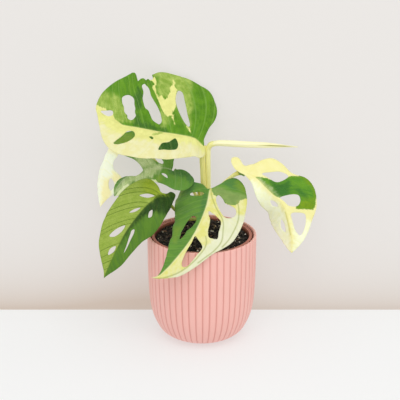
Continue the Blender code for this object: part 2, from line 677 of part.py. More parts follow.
def build_all():
    clear_scene()
    pot_plastic = material("pot_plastic", (0.80, 0.42, 0.37), 0.45)
    grow_plastic = material("grow_pot_plastic", (0.45, 0.20, 0.13), 0.5)
    soil_mix = material("soil_mix", (0.035, 0.024, 0.018), 0.95)
    stalk = material("stalk_skin", (0.72, 0.66, 0.22), 0.45)
    leaf_colours = {
        "leaf_top": (0.28, 0.42, 0.08),
        "leaf_front": (0.16, 0.30, 0.07),
        "leaf_left": (0.30, 0.42, 0.08),
        "leaf_right": (0.80, 0.80, 0.45),
        "leaf_middle": (0.10, 0.24, 0.06),
        "leaf_rear": (0.82, 0.82, 0.52),
    }

    build_pot(pot_plastic)
    build_grow_pot(grow_plastic)
    soil = build_soil(soil_mix)
    for name, shape in LEAVES.items():
        build_leaf(name, shape, material(LEAF_SLOTS[name], leaf_colours[name], 0.4))
    build_stems(stalk)
    spear = material("leaf_furled_blade", (0.86, 0.82, 0.42), 0.4)
    tube("leaf_furled", SPEAR, SPEAR_RADII, ROLL_SIDES, spear, STALK_STEP, SPEAR_OVERLAP)
    hole_path = [VINE_HOLE_FLOOR] + VINE[:VINE_HOLE_SPANS]
    hole_radii = [radius + VINE_HOLE_GAP for radius in VINE_RADII[:VINE_HOLE_SPANS]]
    hole = tube("stem_hole", hole_path, hole_radii[:1] + hole_radii, STALK_SIDES, soil_mix, STALK_STEP)
    cut(soil, hole)


build_all()
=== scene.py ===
import math

import bpy
import numpy as np
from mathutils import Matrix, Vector, kdtree, noise
from mathutils.geometry import delaunay_2d_cdt


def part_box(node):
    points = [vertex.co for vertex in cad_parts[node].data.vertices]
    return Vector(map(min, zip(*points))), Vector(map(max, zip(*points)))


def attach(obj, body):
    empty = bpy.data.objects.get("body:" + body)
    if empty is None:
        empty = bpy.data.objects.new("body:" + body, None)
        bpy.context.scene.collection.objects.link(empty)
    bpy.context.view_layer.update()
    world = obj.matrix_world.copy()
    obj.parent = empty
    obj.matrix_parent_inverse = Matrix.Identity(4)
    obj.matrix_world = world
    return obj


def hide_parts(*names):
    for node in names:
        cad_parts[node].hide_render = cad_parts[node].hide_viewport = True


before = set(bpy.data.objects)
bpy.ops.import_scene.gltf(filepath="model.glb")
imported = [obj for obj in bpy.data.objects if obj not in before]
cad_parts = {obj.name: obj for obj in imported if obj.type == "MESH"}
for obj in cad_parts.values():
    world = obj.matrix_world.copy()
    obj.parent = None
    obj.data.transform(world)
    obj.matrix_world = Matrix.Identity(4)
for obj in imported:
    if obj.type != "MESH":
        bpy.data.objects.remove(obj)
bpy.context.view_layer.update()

# Outer pot
# A satin plastic cover pot, moulded in one piece. Its side is fluted: 48 broad ribs part at
# narrow grooves that run from the round foot over the rim and a way down its inner side. It
# stands on its flat foot.
MM = 0.001
pot_low, pot_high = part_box("pot")
POT_HEIGHT = (pot_high.z - pot_low.z) / MM
POT_RADIUS = (pot_high.x - pot_low.x) / 2 / MM
POT_FOOT_RADIUS = 31.5
POT_SIDE = [(POT_FOOT_RADIUS, 0.0), (36.0, 1.2), (42.4, 4.0), (49.3, 8.0), (54.6, 13.0),
            (58.7, 20.0), (62.7, 29.0), (65.8, 40.0), (67.8, 54.0), (69.5, 90.0),
            (POT_RADIUS, 132.0)]
SIDE_STEPS = 5
POT_WALL = 3.0
POT_FLOOR = 5.0
POT_FLOOR_RADIUS = 40.0
POT_RIM_ROUND = 1.4
RIM_ARC_STEPS = 5
ROWS_BELOW_RIM = (5.0, 3.5, 2.2)
BORE_ROW_HEIGHTS = (125.0, 98.0, 63.0, 39.0, 22.0, 12.0, 7.5)
BORE_EASE = 0.4
RIB_COUNT = 48
STEPS_ACROSS_RIB = 10
GROOVE_DEPTH = 1.1
GROOVE_SHARPNESS = 4.5
GROOVE_FADE_HEIGHTS = (0.5, 4.0, POT_HEIGHT - 3.0, POT_HEIGHT - 1.2)
RIM_GROOVE_SHARE = 0.9
GROOVE_FADE_SHARES = (0.0, 1.0, 1.0, RIM_GROOVE_SHARE)
BORE_GROOVE_HEIGHTS = (60.0, 120.0)
FIRST_GROOVE_TURN = math.radians(0.8)
SEAM_MERGE = 0.00001
PEEL_SCALE = 900.0
PEEL_DEPTH = 0.06
CLOUD_SCALE = 22.0
RUB_SCALE = 75.0
RUB_SHIFT = (-0.05, 0.06)
GROOVE_SHADE_SHARE = 0.75
GROOVE_DULLNESS = 0.15
PLASTIC_IOR = 1.46
STAIN_AND_SHADE_COLOUR = "#4E2E20"
STAIN_AND_SHADE_SHARE = 0.85
STAIN_AND_SHADE_FADE = 4.0
STAIN_AND_SHADE_FRAY = 3.0


def linear(code, shade=1.0):
    """Scene colour of a six-digit colour code, darkened or lightened by shade."""
    parts = [int(code[k:k + 2], 16) / 255 for k in (1, 3, 5)]
    light = [((c + 0.055) / 1.055) ** 2.4 for c in parts]
    return (*[min(1.0, c * shade) for c in light], 1.0)


class Field:
    """What one output of a node gives. Plain arithmetic with it adds Math nodes."""

    def __init__(self, socket):
        self.socket = socket

    def __add__(self, other):
        return calc("ADD", self, other)

    def __sub__(self, other):
        return calc("SUBTRACT", self, other)

    def __rsub__(self, other):
        return calc("SUBTRACT", other, self)

    def __mul__(self, other):
        return calc("MULTIPLY", self, other)

    def __truediv__(self, other):
        return calc("DIVIDE", self, other)

    def __pow__(self, other):
        return calc("POWER", self, other)

    def __abs__(self):
        return calc("ABSOLUTE", self)


def find_socket(sockets, key):
    """The socket of that number, or the one of that name that the node's settings use."""
    if isinstance(key, int):
        return sockets[key]
    return next(s for s in sockets if s.name == key and s.enabled)


def feed(made, links):
    """Links each named input of a node to a field, or gives it a value."""
    for key, value in links.items():
        socket = find_socket(made.inputs, key)
        if isinstance(value, Field):
            made.id_data.links.new(value.socket, socket)
        else:
            socket.default_value = value


def add_node(tree, kind, links, settings):
    """A new node with its settings and its inputs."""
    made = tree.nodes.new(kind)
    for key, value in settings.items():
        setattr(made, key, value)
    feed(made, links)
    return made


def node(tree, kind, links=None, output=0, **settings):
    """Field of one output of a new node."""
    return Field(find_socket(add_node(tree, kind, links or {}, settings).outputs, output))


def tree_of(values):
    """The node tree that the first field among the values belongs to."""
    return next(v.socket.id_data for v in values if isinstance(v, Field))


def calc(operation, *values):
    """Field of a Math node over the values."""
    links = dict(enumerate(values))
    return node(tree_of(values), "ShaderNodeMath", links, operation=operation)


def axes(vector):
    """Fields of the three axes of a vector field."""
    made = add_node(tree_of([vector]), "ShaderNodeSeparateXYZ", {0: vector}, {})
    return [Field(socket) for socket in made.outputs]


def blend(share, first, second, how="MIX"):
    """Colour between two others."""
    links = {"Factor": share, "A": first, "B": second}
    return node(tree_of(links.values()), "ShaderNodeMix", links, "Result", data_type="RGBA",
                blend_type=how)


def ramp(value, low, high, to_low=0.0, to_high=1.0):
    """Value carried smoothly from one range to another."""
    links = {"Value": value, "From Min": low, "From Max": high, "To Min": to_low,
             "To Max": to_high}
    return node(tree_of([value]), "ShaderNodeMapRange", links, interpolation_type="SMOOTHSTEP")


def clouds(place, scale, detail, output="Fac"):
    """Soft noise over a place."""
    links = {"Vector": place, "Scale": scale, "Detail": detail}
    return node(tree_of([place]), "ShaderNodeTexNoise", links, output)


def object_place(tree):
    """Field of the place on the piece, in metres."""
    return node(tree, "ShaderNodeTexCoord", output="Object")


def mark(tree, label):
    """Field of a number that the piece's mesh holds at each point."""
    return node(tree, "ShaderNodeAttribute", output="Fac", attribute_name=label)


def relief(height, strength, depth):
    """Normals of a relief whose depth is in millimetres."""
    links = {"Strength": strength, "Distance": depth * MM, "Height": height}
    return node(tree_of([height]), "ShaderNodeBump", links)


def new_group(name, kind, inputs, outputs):
    """An empty node group: its tree, the fields of its inputs and its output node."""
    tree = bpy.data.node_groups.new(name, kind)
    for label, socket_type, value in inputs:
        made = tree.interface.new_socket(label, in_out="INPUT", socket_type=socket_type)
        if value is not None:
            made.default_value = value
    for label, socket_type in outputs:
        tree.interface.new_socket(label, in_out="OUTPUT", socket_type=socket_type)
    given = {s.name: Field(s) for s in tree.nodes.new("NodeGroupInput").outputs if s.name}
    return tree, given, tree.nodes.new("NodeGroupOutput")


def place_group(tree, group, links):
    """Fields of the outputs of a shader group that is placed in a material."""
    made = add_node(tree, "ShaderNodeGroup", links, {"node_tree": group})
    return {socket.name: Field(socket) for socket in made.outputs}


def new_material(name):
    """A material with its node tree and its Principled shader."""
    made = bpy.data.materials.new(name)
    made.use_nodes = True
    return made, made.node_tree, made.node_tree.nodes["Principled BSDF"]


def link_object(name, mesh):
    """A new object in the scene."""
    made = bpy.data.objects.new(name, mesh)
    bpy.context.collection.objects.link(made)
    return made


def grow(name, start, tree, settings):
    """Object with the plain mesh that a geometry tree makes from the start mesh."""
    seed = link_object(name + "_start", start)
    change = seed.modifiers.new("made", "NODES")
    change.node_group = tree
    for item in tree.interface.items_tree:
        if item.in_out == "INPUT" and item.name in settings:
            change[item.identifier] = settings[item.name]
    evaluated = seed.evaluated_get(bpy.context.evaluated_depsgraph_get())
    mesh = bpy.data.meshes.new_from_object(evaluated)
    mesh.name = name
    bpy.data.objects.remove(seed)
    return link_object(name, mesh)


def smooth_path(points, per_span, closed=False):
    """Centripetal curve through the points, with per_span steps between two of them."""
    points = np.asarray(points, float)
    if closed:
        knots = np.vstack([points[-1], points, points[0], points[1]])
    else:
        knots = np.vstack([2 * points[0] - points[1], points, 2 * points[-1] - points[-2]])
    path = []
    for k in range(len(knots) - 3):
        p0, p1, p2, p3 = knots[k:k + 4]
        t1 = np.linalg.norm(p1 - p0) ** 0.5
        t2 = t1 + np.linalg.norm(p2 - p1) ** 0.5
        t3 = t2 + np.linalg.norm(p3 - p2) ** 0.5
        for t in np.linspace(t1, t2, per_span, endpoint=False):
            a1 = (t1 - t) / t1 * p0 + t / t1 * p1
            a2 = (t2 - t) / (t2 - t1) * p1 + (t - t1) / (t2 - t1) * p2
            a3 = (t3 - t) / (t3 - t2) * p2 + (t - t2) / (t3 - t2) * p3
            b1 = (t2 - t) / t2 * a1 + t / t2 * a2
            b2 = (t3 - t) / (t3 - t1) * a2 + (t - t1) / (t3 - t1) * a3
            path.append((t2 - t) / (t2 - t1) * b1 + (t - t1) / (t2 - t1) * b2)
    if not closed:
        path.append(points[-1])
    return np.array(path)


def turning_tree():
    """Turns a profile line in the XZ plane round Z, with grooves pressed in from outside."""
    tree, given, result = new_group("turned_piece", "GeometryNodeTree", [
        ("Profile", "NodeSocketGeometry", None),
        ("Steps Round", "NodeSocketInt", 96),
        ("Ribs", "NodeSocketInt", 1),
        ("Groove Depth", "NodeSocketFloat", 0.0),
        ("Groove Sharpness", "NodeSocketFloat", 1.0),
        ("Material", "NodeSocketMaterial", None),
    ], [("Piece", "NodeSocketGeometry")])
    profile = given["Profile"]
    rows = node(tree, "GeometryNodeAttributeDomainSize", {"Geometry": profile}, "Point Count")
    grid = node(tree, "GeometryNodeMeshGrid", {
        "Size X": 1.0, "Size Y": 1.0, "Vertices X": given["Steps Round"] + 1.0,
        "Vertices Y": rows})
    place = node(tree, "GeometryNodeInputPosition")
    across, along, _ = axes(place)
    turn = across + 0.5
    row = calc("ROUND", (along + 0.5) * (rows - 1.0))

    def of_row(value, kind):
        """The value at the profile point that belongs to the row."""
        links = {"Geometry": profile, "Value": value, "Index": row}
        return node(tree, "GeometryNodeSampleIndex", links, "Value", data_type=kind)

    reach, _, height = axes(of_row(place, "FLOAT_VECTOR"))
    held = node(tree, "GeometryNodeInputNamedAttribute", {"Name": "groove_share"}, "Attribute",
                data_type="FLOAT")
    off_groove = abs(calc("FRACT", turn * given["Ribs"] + 0.5) - 0.5) * 2.0
    groove = (1.0 - off_groove) ** given["Groove Sharpness"] * of_row(held, "FLOAT")
    radius = reach - groove * given["Groove Depth"]
    angle = turn * (2 * math.pi) + (FIRST_GROOVE_TURN - math.pi / 2)
    spread = node(tree, "ShaderNodeCombineXYZ", {
        "X": radius * calc("COSINE", angle), "Y": radius * calc("SINE", angle), "Z": height})
    piece = node(tree, "GeometryNodeStoreNamedAttribute", {
        "Geometry": grid, "Name": "groove", "Value": groove}, data_type="FLOAT", domain="POINT")
    for kind, links in (("GeometryNodeSetPosition", {"Position": spread}),
                        ("GeometryNodeMergeByDistance", {"Distance": SEAM_MERGE}),
                        ("GeometryNodeSetShadeSmooth", {}),
                        ("GeometryNodeRealizeInstances", {}),
                        ("GeometryNodeSetMaterial", {"Material": given["Material"]})):
        piece = node(tree, kind, {"Geometry": piece, **links})
    feed(result, {"Piece": piece})
    return tree


def profile_mesh(name, rows):
    """Profile line in metres from rows of (radius, height, groove share) in millimetres."""
    mesh = bpy.data.meshes.new(name)
    mesh.from_pydata([(r * MM, 0.0, z * MM) for r, z, _ in rows], [], [])
    shares = mesh.attributes.new("groove_share", "FLOAT", "POINT")
    shares.data.foreach_set("value", [row[2] for row in rows])
    return mesh


def arc(centre, radius, start, end, steps):
    """Points of (radius, height) along an arc, with its angles in degrees."""
    turns = np.radians(np.linspace(start, end, steps))
    return [(centre[0] + radius * math.cos(a), centre[1] + radius * math.sin(a)) for a in turns]


def moulded_skin_group():
    """Very fine orange peel and faint clouding of injection-moulded plastic."""
    tree, given, result = new_group("moulded_skin", "ShaderNodeTree", [
        ("Peel Size", "NodeSocketFloat", PEEL_SCALE),
    ], [("Height", "NodeSocketFloat"), ("Cloud", "NodeSocketFloat"),
        ("Roughness Shift", "NodeSocketFloat")])
    place = object_place(tree)
    feed(result, {
        "Height": clouds(place, given["Peel Size"], 2.0),
        "Cloud": clouds(place, CLOUD_SCALE, 3.0),
        "Roughness Shift": ramp(clouds(place, RUB_SCALE, 4.0), 0.35, 0.7, *RUB_SHIFT)})
    return tree


moulded_skin = moulded_skin_group()


def plastic(name, colour, shade, groove_shade_colour, roughness, peel, stained_and_shaded_below=None):
    """Moulded plastic, a little darker and duller down in its grooves, where the darkening is
    painted shade. Below the height of its last argument, when given, it is darker still: partly
    a wet soil stain, partly painted shade inside the pot."""
    made, tree, shader = new_material(name)
    skin = place_group(tree, moulded_skin, {"Peel Size": peel})
    groove = mark(tree, "groove")
    body = blend(skin["Cloud"], linear(colour), linear(shade))
    # Painted shade: the colour darkens towards the groove colour down in the grooves.
    body = blend(ramp(groove, 0.05, 0.9, 0.0, GROOVE_SHADE_SHARE), body, linear(groove_shade_colour))
    # Painted shade and soil stain: below the given height the plastic darkens towards dark brown.
    if stained_and_shaded_below is not None:
        height = axes(object_place(tree))[2] + skin["Cloud"] * (STAIN_AND_SHADE_FRAY * MM)
        stain_and_shade_top = stained_and_shaded_below * MM
        stain = ramp(height, stain_and_shade_top - STAIN_AND_SHADE_FADE * MM, stain_and_shade_top, STAIN_AND_SHADE_SHARE, 0.0)
        body = blend(stain, body, linear(STAIN_AND_SHADE_COLOUR))
    feed(shader, {
        "Base Color": body,
        "Roughness": groove * GROOVE_DULLNESS + roughness + skin["Roughness Shift"],
        "Normal": relief(skin["Height"], 0.25, PEEL_DEPTH),
        "IOR": PLASTIC_IOR})
    return made


def groove_share(z):
    """Share of their full depth that the grooves have at that height."""
    return float(np.interp(z, GROOVE_FADE_HEIGHTS, GROOVE_FADE_SHARES))


turned_piece = turning_tree()
pot_side = smooth_path(POT_SIDE, SIDE_STEPS)
pot_rows = [(0.0, 0.0, 0.0), (POT_FOOT_RADIUS / 2, 0.0, 0.0)]
pot_rows += [(r, z, groove_share(z)) for r, z in pot_side]
for z in [POT_HEIGHT - depth for depth in ROWS_BELOW_RIM]:
    pot_rows.append((POT_RADIUS, z, groove_share(z)))
rim_z = POT_HEIGHT - POT_RIM_ROUND
bore_rim = POT_RADIUS - POT_WALL + POT_RIM_ROUND
rim = arc((POT_RADIUS - POT_RIM_ROUND, rim_z), POT_RIM_ROUND, 0, 90, RIM_ARC_STEPS)
rim += arc((bore_rim, rim_z), POT_RIM_ROUND, 90, 180, RIM_ARC_STEPS)
pot_rows += [(r, z, RIM_GROOVE_SHARE) for r, z in rim]
for z in BORE_ROW_HEIGHTS:
    r = float(np.interp(z, pot_side[:, 1], pot_side[:, 0])) - POT_WALL - BORE_EASE
    share = float(np.interp(z, BORE_GROOVE_HEIGHTS, (0.0, RIM_GROOVE_SHARE)))
    pot_rows.append((r, z, share))
pot_rows += [(POT_FLOOR_RADIUS, POT_FLOOR, 0.0), (0.0, POT_FLOOR, 0.0)]

pot_plastic = plastic("pot_plastic", "#F6BFB6", "#F3B8AE", "#D98E84", 0.42, PEEL_SCALE)
pot = grow("outer_pot", profile_mesh("outer_pot_profile", pot_rows), turned_piece, {
    "Steps Round": RIB_COUNT * STEPS_ACROSS_RIB,
    "Ribs": RIB_COUNT,
    "Groove Depth": GROOVE_DEPTH * MM,
    "Groove Sharpness": GROOVE_SHARPNESS,
    "Material": pot_plastic,
})
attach(pot, "root")
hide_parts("pot")

# Grow pot
# A thin red-brown nursery pot, blown in one piece with a thicker band round its rim. It is
# dropped into the outer pot, where only its rim shows. Below the rim it is darker, partly a
# wet soil stain and partly painted shade inside the pot.
grow_low, grow_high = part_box("grow_pot")
GROW_FOOT_Z = grow_low.z / MM
GROW_RIM_Z = grow_high.z / MM
GROW_FOOT_RADIUS = 42.0
GROW_FOOT_ROUND = 1.5
GROW_RIM_RADIUS = 62.0
GROW_WALL = 1.3
GROW_LIP = 2.6
GROW_LIP_HEIGHT = 7.0
GROW_LIP_ROUND = 0.8
GROW_ARC_STEPS = 4
GROW_FLOOR = 2.2
GROW_STEPS_ROUND = 144
GROW_SLOPE = (GROW_RIM_RADIUS - GROW_FOOT_RADIUS) / (GROW_RIM_Z - GROW_FOOT_Z)
GROW_STAIN_AND_SHADE_TOP = GROW_RIM_Z + 1.0

band_z = GROW_RIM_Z - GROW_LIP_HEIGHT
band_radius = GROW_FOOT_RADIUS + GROW_SLOPE * (band_z - GROW_FOOT_Z)
lip_radius = GROW_RIM_RADIUS + GROW_LIP - GROW_LIP_ROUND
lip_z = GROW_RIM_Z - GROW_LIP_ROUND
lip_bore = GROW_RIM_RADIUS - GROW_WALL + GROW_LIP_ROUND
grow_floor_z = GROW_FOOT_Z + GROW_FLOOR
grow_rows = [(0.0, GROW_FOOT_Z)]
grow_rows += arc((GROW_FOOT_RADIUS - GROW_FOOT_ROUND, GROW_FOOT_Z + GROW_FOOT_ROUND),
                 GROW_FOOT_ROUND, -90, 0, GROW_ARC_STEPS)
grow_rows += [(band_radius, band_z), (band_radius + GROW_LIP, band_z + GROW_LIP_ROUND)]
grow_rows += arc((lip_radius, lip_z), GROW_LIP_ROUND, 0, 90, GROW_ARC_STEPS)
grow_rows += arc((lip_bore, lip_z), GROW_LIP_ROUND, 90, 180, GROW_ARC_STEPS)
grow_rows += [(GROW_FOOT_RADIUS - GROW_WALL, grow_floor_z), (0.0, grow_floor_z)]
grow_plastic = plastic("grow_pot_plastic", "#B87060", "#AC6450", "#8A4A3A", 0.5, PEEL_SCALE,
                       GROW_STAIN_AND_SHADE_TOP)
grow_line = profile_mesh("inner_pot_profile", [(r, z, 0.0) for r, z in grow_rows])
grow_pot = grow("inner_pot", grow_line, turned_piece,
                {"Steps Round": GROW_STEPS_ROUND, "Material": grow_plastic})
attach(grow_pot, "root")
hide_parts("grow_pot")

# Soil
# Dark potting mix of peat with bark and white perlite, filled to just under the rim of the
# grow pot. The bed is one lumpy mass, and loose crumbs, bark, grains and a husk lie on it.
SOIL_LEVEL = 134.0
SOIL_MOUND = 3.0
SOIL_MOUND_REACH = 34.0
SOIL_LUMP = 1.1
SOIL_FINE_LUMP = 0.9
SOIL_FINE_SCALE = 0.32
SOIL_FINE_LAYERS = 3
SOIL_CLEARANCE = 0.45
SOIL_FOOT_GAP = 0.3
SOIL_EDGE_DROP = 1.5
SOIL_TOP_BAND = 0.5
SOIL_FIRST_RING = 0.98
SOIL_RINGS = 52
SOIL_STEPS_ROUND = 180
SOIL_GRAIN = 260.0
STEM_FOOT = (4.0, 38.0)
BIT_STRETCH = ((0.7, 0.7, 0.7), (1.3, 1.3, 1.3))
DENT_SCALE = 700.0
FINE_GRAIN = 2.6
LITTER_RADIUS = 57.0
LITTER_RINGS = 14
LITTER_STEPS_ROUND = 60
LITTER_ROUGHNESS = 0.9
LITTER = {
    "soil_crumbs": dict(per=115000.0, seed=3, detail=1, size=(3.6, 3.0, 2.6), tilt=0.9,
                        lift=0.2, dent=0.5, colours=("#14100E", "#64574C"), grain=420.0),
    "bark_chips": dict(per=7500.0, seed=8, detail=2, size=(8.4, 4.4, 1.7), tilt=0.45,
                       lift=0.9, dent=0.9, colours=("#1C130E", "#6B4D38"), grain=300.0),
    "perlite_grains": dict(per=8500.0, seed=21, detail=2, size=(2.8, 2.5, 2.3), tilt=1.2,
                           lift=1.2, dent=0.5, colours=("#B8AE9C", "#E8E2D6"), grain=500.0),
}
HUSK_PLACE = (14.0, 29.0)
HUSK_SINK = 0.4
HUSK_RADIUS = 4.0
HUSK_WIDTH = 3.4
HUSK_THICKNESS = 0.8
HUSK_TURN = (-70.0, 150.0)
HUSK_STEPS = 28
HUSK_FLARE = 0.35
HUSK_END_ROUND = 0.4


def soil_height(x, y):
    """Height of the soil: a low mound towards the stem with lumps over it."""
    far = math.hypot(x - STEM_FOOT[0], y - STEM_FOOT[1])
    mound = SOIL_MOUND * math.exp(-(far / SOIL_MOUND_REACH) ** 2)
    lumps = math.sin(0.31 * x + 1.0) * math.cos(0.27 * y)
    lumps += 0.6 * math.sin(0.53 * y - 0.41 * x + 2.0)
    fine = noise.fractal(Vector((x, y, 0.0)) * SOIL_FINE_SCALE, 0.7, 2.0, SOIL_FINE_LAYERS)
    return SOIL_LEVEL + mound + SOIL_LUMP * lumps + SOIL_FINE_LUMP * fine


def litter_tree():
    """Scatters loose bits over a ground mesh, each turned, sized and dented by chance."""
    tree, given, result = new_group("litter", "GeometryNodeTree", [
        ("Ground", "NodeSocketGeometry", None),
        ("Bits per Square Metre", "NodeSocketFloat", 100.0),
        ("Seed", "NodeSocketInt", 1),
        ("Shape Detail", "NodeSocketInt", 1),
        ("Bit Size", "NodeSocketVector", (0.003, 0.003, 0.003)),
        ("Smallest", "NodeSocketFloat", 0.5),
        ("Largest", "NodeSocketFloat", 1.3),
        ("Tilt", "NodeSocketFloat", 0.5),
        ("Lift", "NodeSocketFloat", 0.0),
        ("Dent", "NodeSocketFloat", 0.0005),
        ("Material", "NodeSocketMaterial", None),
    ], [("Litter", "NodeSocketGeometry")])

    def chance(low, high, offset, kind="FLOAT"):
        """A number or vector drawn for each bit. Each offset is a draw of its own."""
        links = {"Min": low, "Max": high, "Seed": given["Seed"] + offset}
        return node(tree, "FunctionNodeRandomValue", links, "Value", data_type=kind)

    def vector_math(operation, links):
        """Field of a Vector Math node."""
        return node(tree, "ShaderNodeVectorMath", links, operation=operation)

    spots = node(tree, "GeometryNodeDistributePointsOnFaces", {
        "Mesh": given["Ground"], "Density": given["Bits per Square Metre"],
        "Seed": given["Seed"]})
    bit = node(tree, "GeometryNodeMeshIcoSphere",
               {"Radius": 0.5, "Subdivisions": given["Shape Detail"]})
    tilt = given["Tilt"]
    back = tilt * -1.0
    turn = node(tree, "ShaderNodeCombineXYZ", {
        "X": chance(back, tilt, 11.0), "Y": chance(back, tilt, 12.0),
        "Z": chance(0.0, 2 * math.pi, 13.0)})
    turn = node(tree, "FunctionNodeEulerToRotation", {"Euler": turn})
    size = vector_math("MULTIPLY", {
        0: given["Bit Size"], 1: chance(*BIT_STRETCH, 14.0, "FLOAT_VECTOR")})
    size = vector_math("SCALE", {
        0: size, "Scale": chance(given["Smallest"], given["Largest"], 15.0)})
    bits = node(tree, "GeometryNodeInstanceOnPoints", {
        "Points": spots, "Instance": bit, "Rotation": turn, "Scale": size})
    bits = node(tree, "GeometryNodeStoreNamedAttribute", {
        "Geometry": bits, "Name": "tone", "Value": chance(0.0, 1.0, 16.0)},
        data_type="FLOAT", domain="INSTANCE")
    bits = node(tree, "GeometryNodeRealizeInstances", {"Geometry": bits})
    lumps = clouds(node(tree, "GeometryNodeInputPosition"), DENT_SCALE, 2.0, "Color")
    push = vector_math("SUBTRACT", {0: lumps, 1: (0.5, 0.5, 0.5)})
    push = vector_math("SCALE", {0: push, "Scale": given["Dent"] * 2.0})
    lift = node(tree, "ShaderNodeCombineXYZ", {"Z": given["Lift"]})
    push = vector_math("ADD", {0: push, 1: lift})
    for kind, links in (("GeometryNodeSetPosition", {"Offset": push}),
                        ("GeometryNodeSetShadeSmooth", {"Shade Smooth": False}),
                        ("GeometryNodeRealizeInstances", {}),
                        ("GeometryNodeSetMaterial", {"Material": given["Material"]})):
        bits = node(tree, kind, {"Geometry": bits, **links})
    feed(result, {"Litter": bits})
    return tree


def earthy(name, dark, light, roughness, grain, depth):
    """Rough organic matter whose tone changes from bit to bit and over each bit."""
    made, tree, shader = new_material(name)
    place = object_place(tree)
    share = clouds(place, grain, 6.0) * 0.7 + (mark(tree, "tone") * 0.6 - 0.3)
    feed(shader, {
        "Base Color": blend(ramp(share, 0.2, 0.75), linear(dark), linear(light)),
        "Roughness": roughness,
        "Normal": relief(clouds(place, grain * FINE_GRAIN, 5.0), 0.8, depth)})
    return made


def lay_on_soil(corners):
    """Lifts mesh corners to the height of the soil."""
    for corner in corners:
        corner.co.z = soil_height(corner.co.x / MM, corner.co.y / MM) * MM


soil_bore_foot = GROW_FOOT_RADIUS - GROW_WALL - SOIL_CLEARANCE
soil_foot_z = GROW_FOOT_Z + GROW_FLOOR + SOIL_FOOT_GAP
soil_edge_z = SOIL_LEVEL - SOIL_EDGE_DROP
soil_edge = soil_bore_foot + GROW_SLOPE * (soil_edge_z - soil_foot_z)
soil_rows = [(0.0, soil_foot_z, 0.0), (soil_bore_foot, soil_foot_z, 0.0),
             (soil_edge, soil_edge_z, 0.0)]
for share in np.linspace(SOIL_FIRST_RING, 0.0, SOIL_RINGS):
    soil_rows.append((soil_edge * share, SOIL_LEVEL, 0.0))
peat = earthy("soil_mix", "#100C0A", "#30261E", 0.95, SOIL_GRAIN, 1.2)
soil = grow("soil_bed", profile_mesh("soil_profile", soil_rows), turned_piece,
            {"Steps Round": SOIL_STEPS_ROUND, "Material": peat})
soil_top_z = (SOIL_LEVEL - SOIL_TOP_BAND) * MM
lay_on_soil([corner for corner in soil.data.vertices if corner.co.z > soil_top_z])
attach(soil, "root")
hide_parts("soil")

ground_rows = []
for share in np.linspace(1.0, 0.0, LITTER_RINGS):
    ground_rows.append((LITTER_RADIUS * share, SOIL_LEVEL, 0.0))
litter = litter_tree()
for name, look in LITTER.items():
    matter = earthy(name, *look["colours"], LITTER_ROUGHNESS, look["grain"], 0.5)
    ground = grow(name + "_ground", profile_mesh(name + "_line", ground_rows), turned_piece,
                  {"Steps Round": LITTER_STEPS_ROUND, "Material": matter})
    lay_on_soil(ground.data.vertices)
    bits = grow(name, ground.data, litter, {
        "Bits per Square Metre": look["per"], "Seed": look["seed"],
        "Shape Detail": look["detail"], "Bit Size": [mm * MM for mm in look["size"]],
        "Tilt": look["tilt"], "Lift": look["lift"] * MM, "Dent": look["dent"] * MM,
        "Material": matter})
    bpy.data.objects.remove(ground)
    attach(bits, "root")

husk_z = soil_height(*HUSK_PLACE) - HUSK_SINK
husk_spots = []
husk_faces = []
for k, angle in enumerate(np.radians(np.linspace(*HUSK_TURN, HUSK_STEPS))):
    outer = HUSK_RADIUS * (1 + HUSK_FLARE * k / HUSK_STEPS)
    inner = outer - HUSK_THICKNESS
    rounding = math.sin(math.pi * (k + 2) / (HUSK_STEPS + 3)) ** HUSK_END_ROUND
    for radius, height in ((outer, 0.0), (outer, HUSK_WIDTH), (inner, HUSK_WIDTH), (inner, 0.0)):
        husk_spots.append((HUSK_PLACE[0] + radius * math.cos(angle),
                           HUSK_PLACE[1] + radius * math.sin(angle),
                           husk_z + height * rounding))
for k in range(0, 4 * (HUSK_STEPS - 1), 4):
    for a in range(4):
        b = (a + 1) % 4
        husk_faces.append((k + a, k + 4 + a, k + 4 + b, k + b))
last = 4 * (HUSK_STEPS - 1)
husk_faces += [(0, 1, 2, 3), (last + 3, last + 2, last + 1, last)]
husk_mesh = bpy.data.meshes.new("curled_husk")
husk_mesh.from_pydata([tuple(c * MM for c in spot) for spot in husk_spots], [], husk_faces)
husk_mesh.materials.append(earthy("curled_husk", "#A08A6A", "#E0D2B4", 0.85, 400.0, 0.3))
husk = link_object("curled_husk", husk_mesh)
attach(husk, "root")

# Stem and stalks
# The living stem is a short vine that stands in the soil, and each leaf is carried by its own
# fleshy stalk. A stalk is round and thickens at the knee, where it turns over to hold its
# blade. All are cream to olive with fine green streaks.
STALK_SIDES = 24
STALK_STEP = 1.3
PATH_STEPS = 24
KNEE_LENGTH = 13.0
KNEE_SWELL = 0.16
SECTION_SIDE = (0.0, 1.0, 0.3)
STALK_END_REACH = 0.9
STALK_GLOW = 0.07
STALK_COLOURS = ("#F1EDA4", "#D6CC58")
STALK_GREENS = ("#E4E292", "#98A23C")
KNEE_COLOUR = "#6C8C38"
DOT_COLOUR = "#FBF8D8"
DOT_SCALE = 650.0
SKIN_RELIEF = 0.2
VINE = [(5, 41, 98), (5, 40, 115), (4, 38, 137), (3.5, 36, 156), (3.5, 35, 168)]
VINE_RADII = (4.2, 4.4, 4.6, 5.0, 6.0)
VINE_TONE = 0.9
VINE_SCARS = (34.0, 47.0, 60.0)
SCAR_WIDTH = 1.1
SCAR_HEIGHT = 0.5
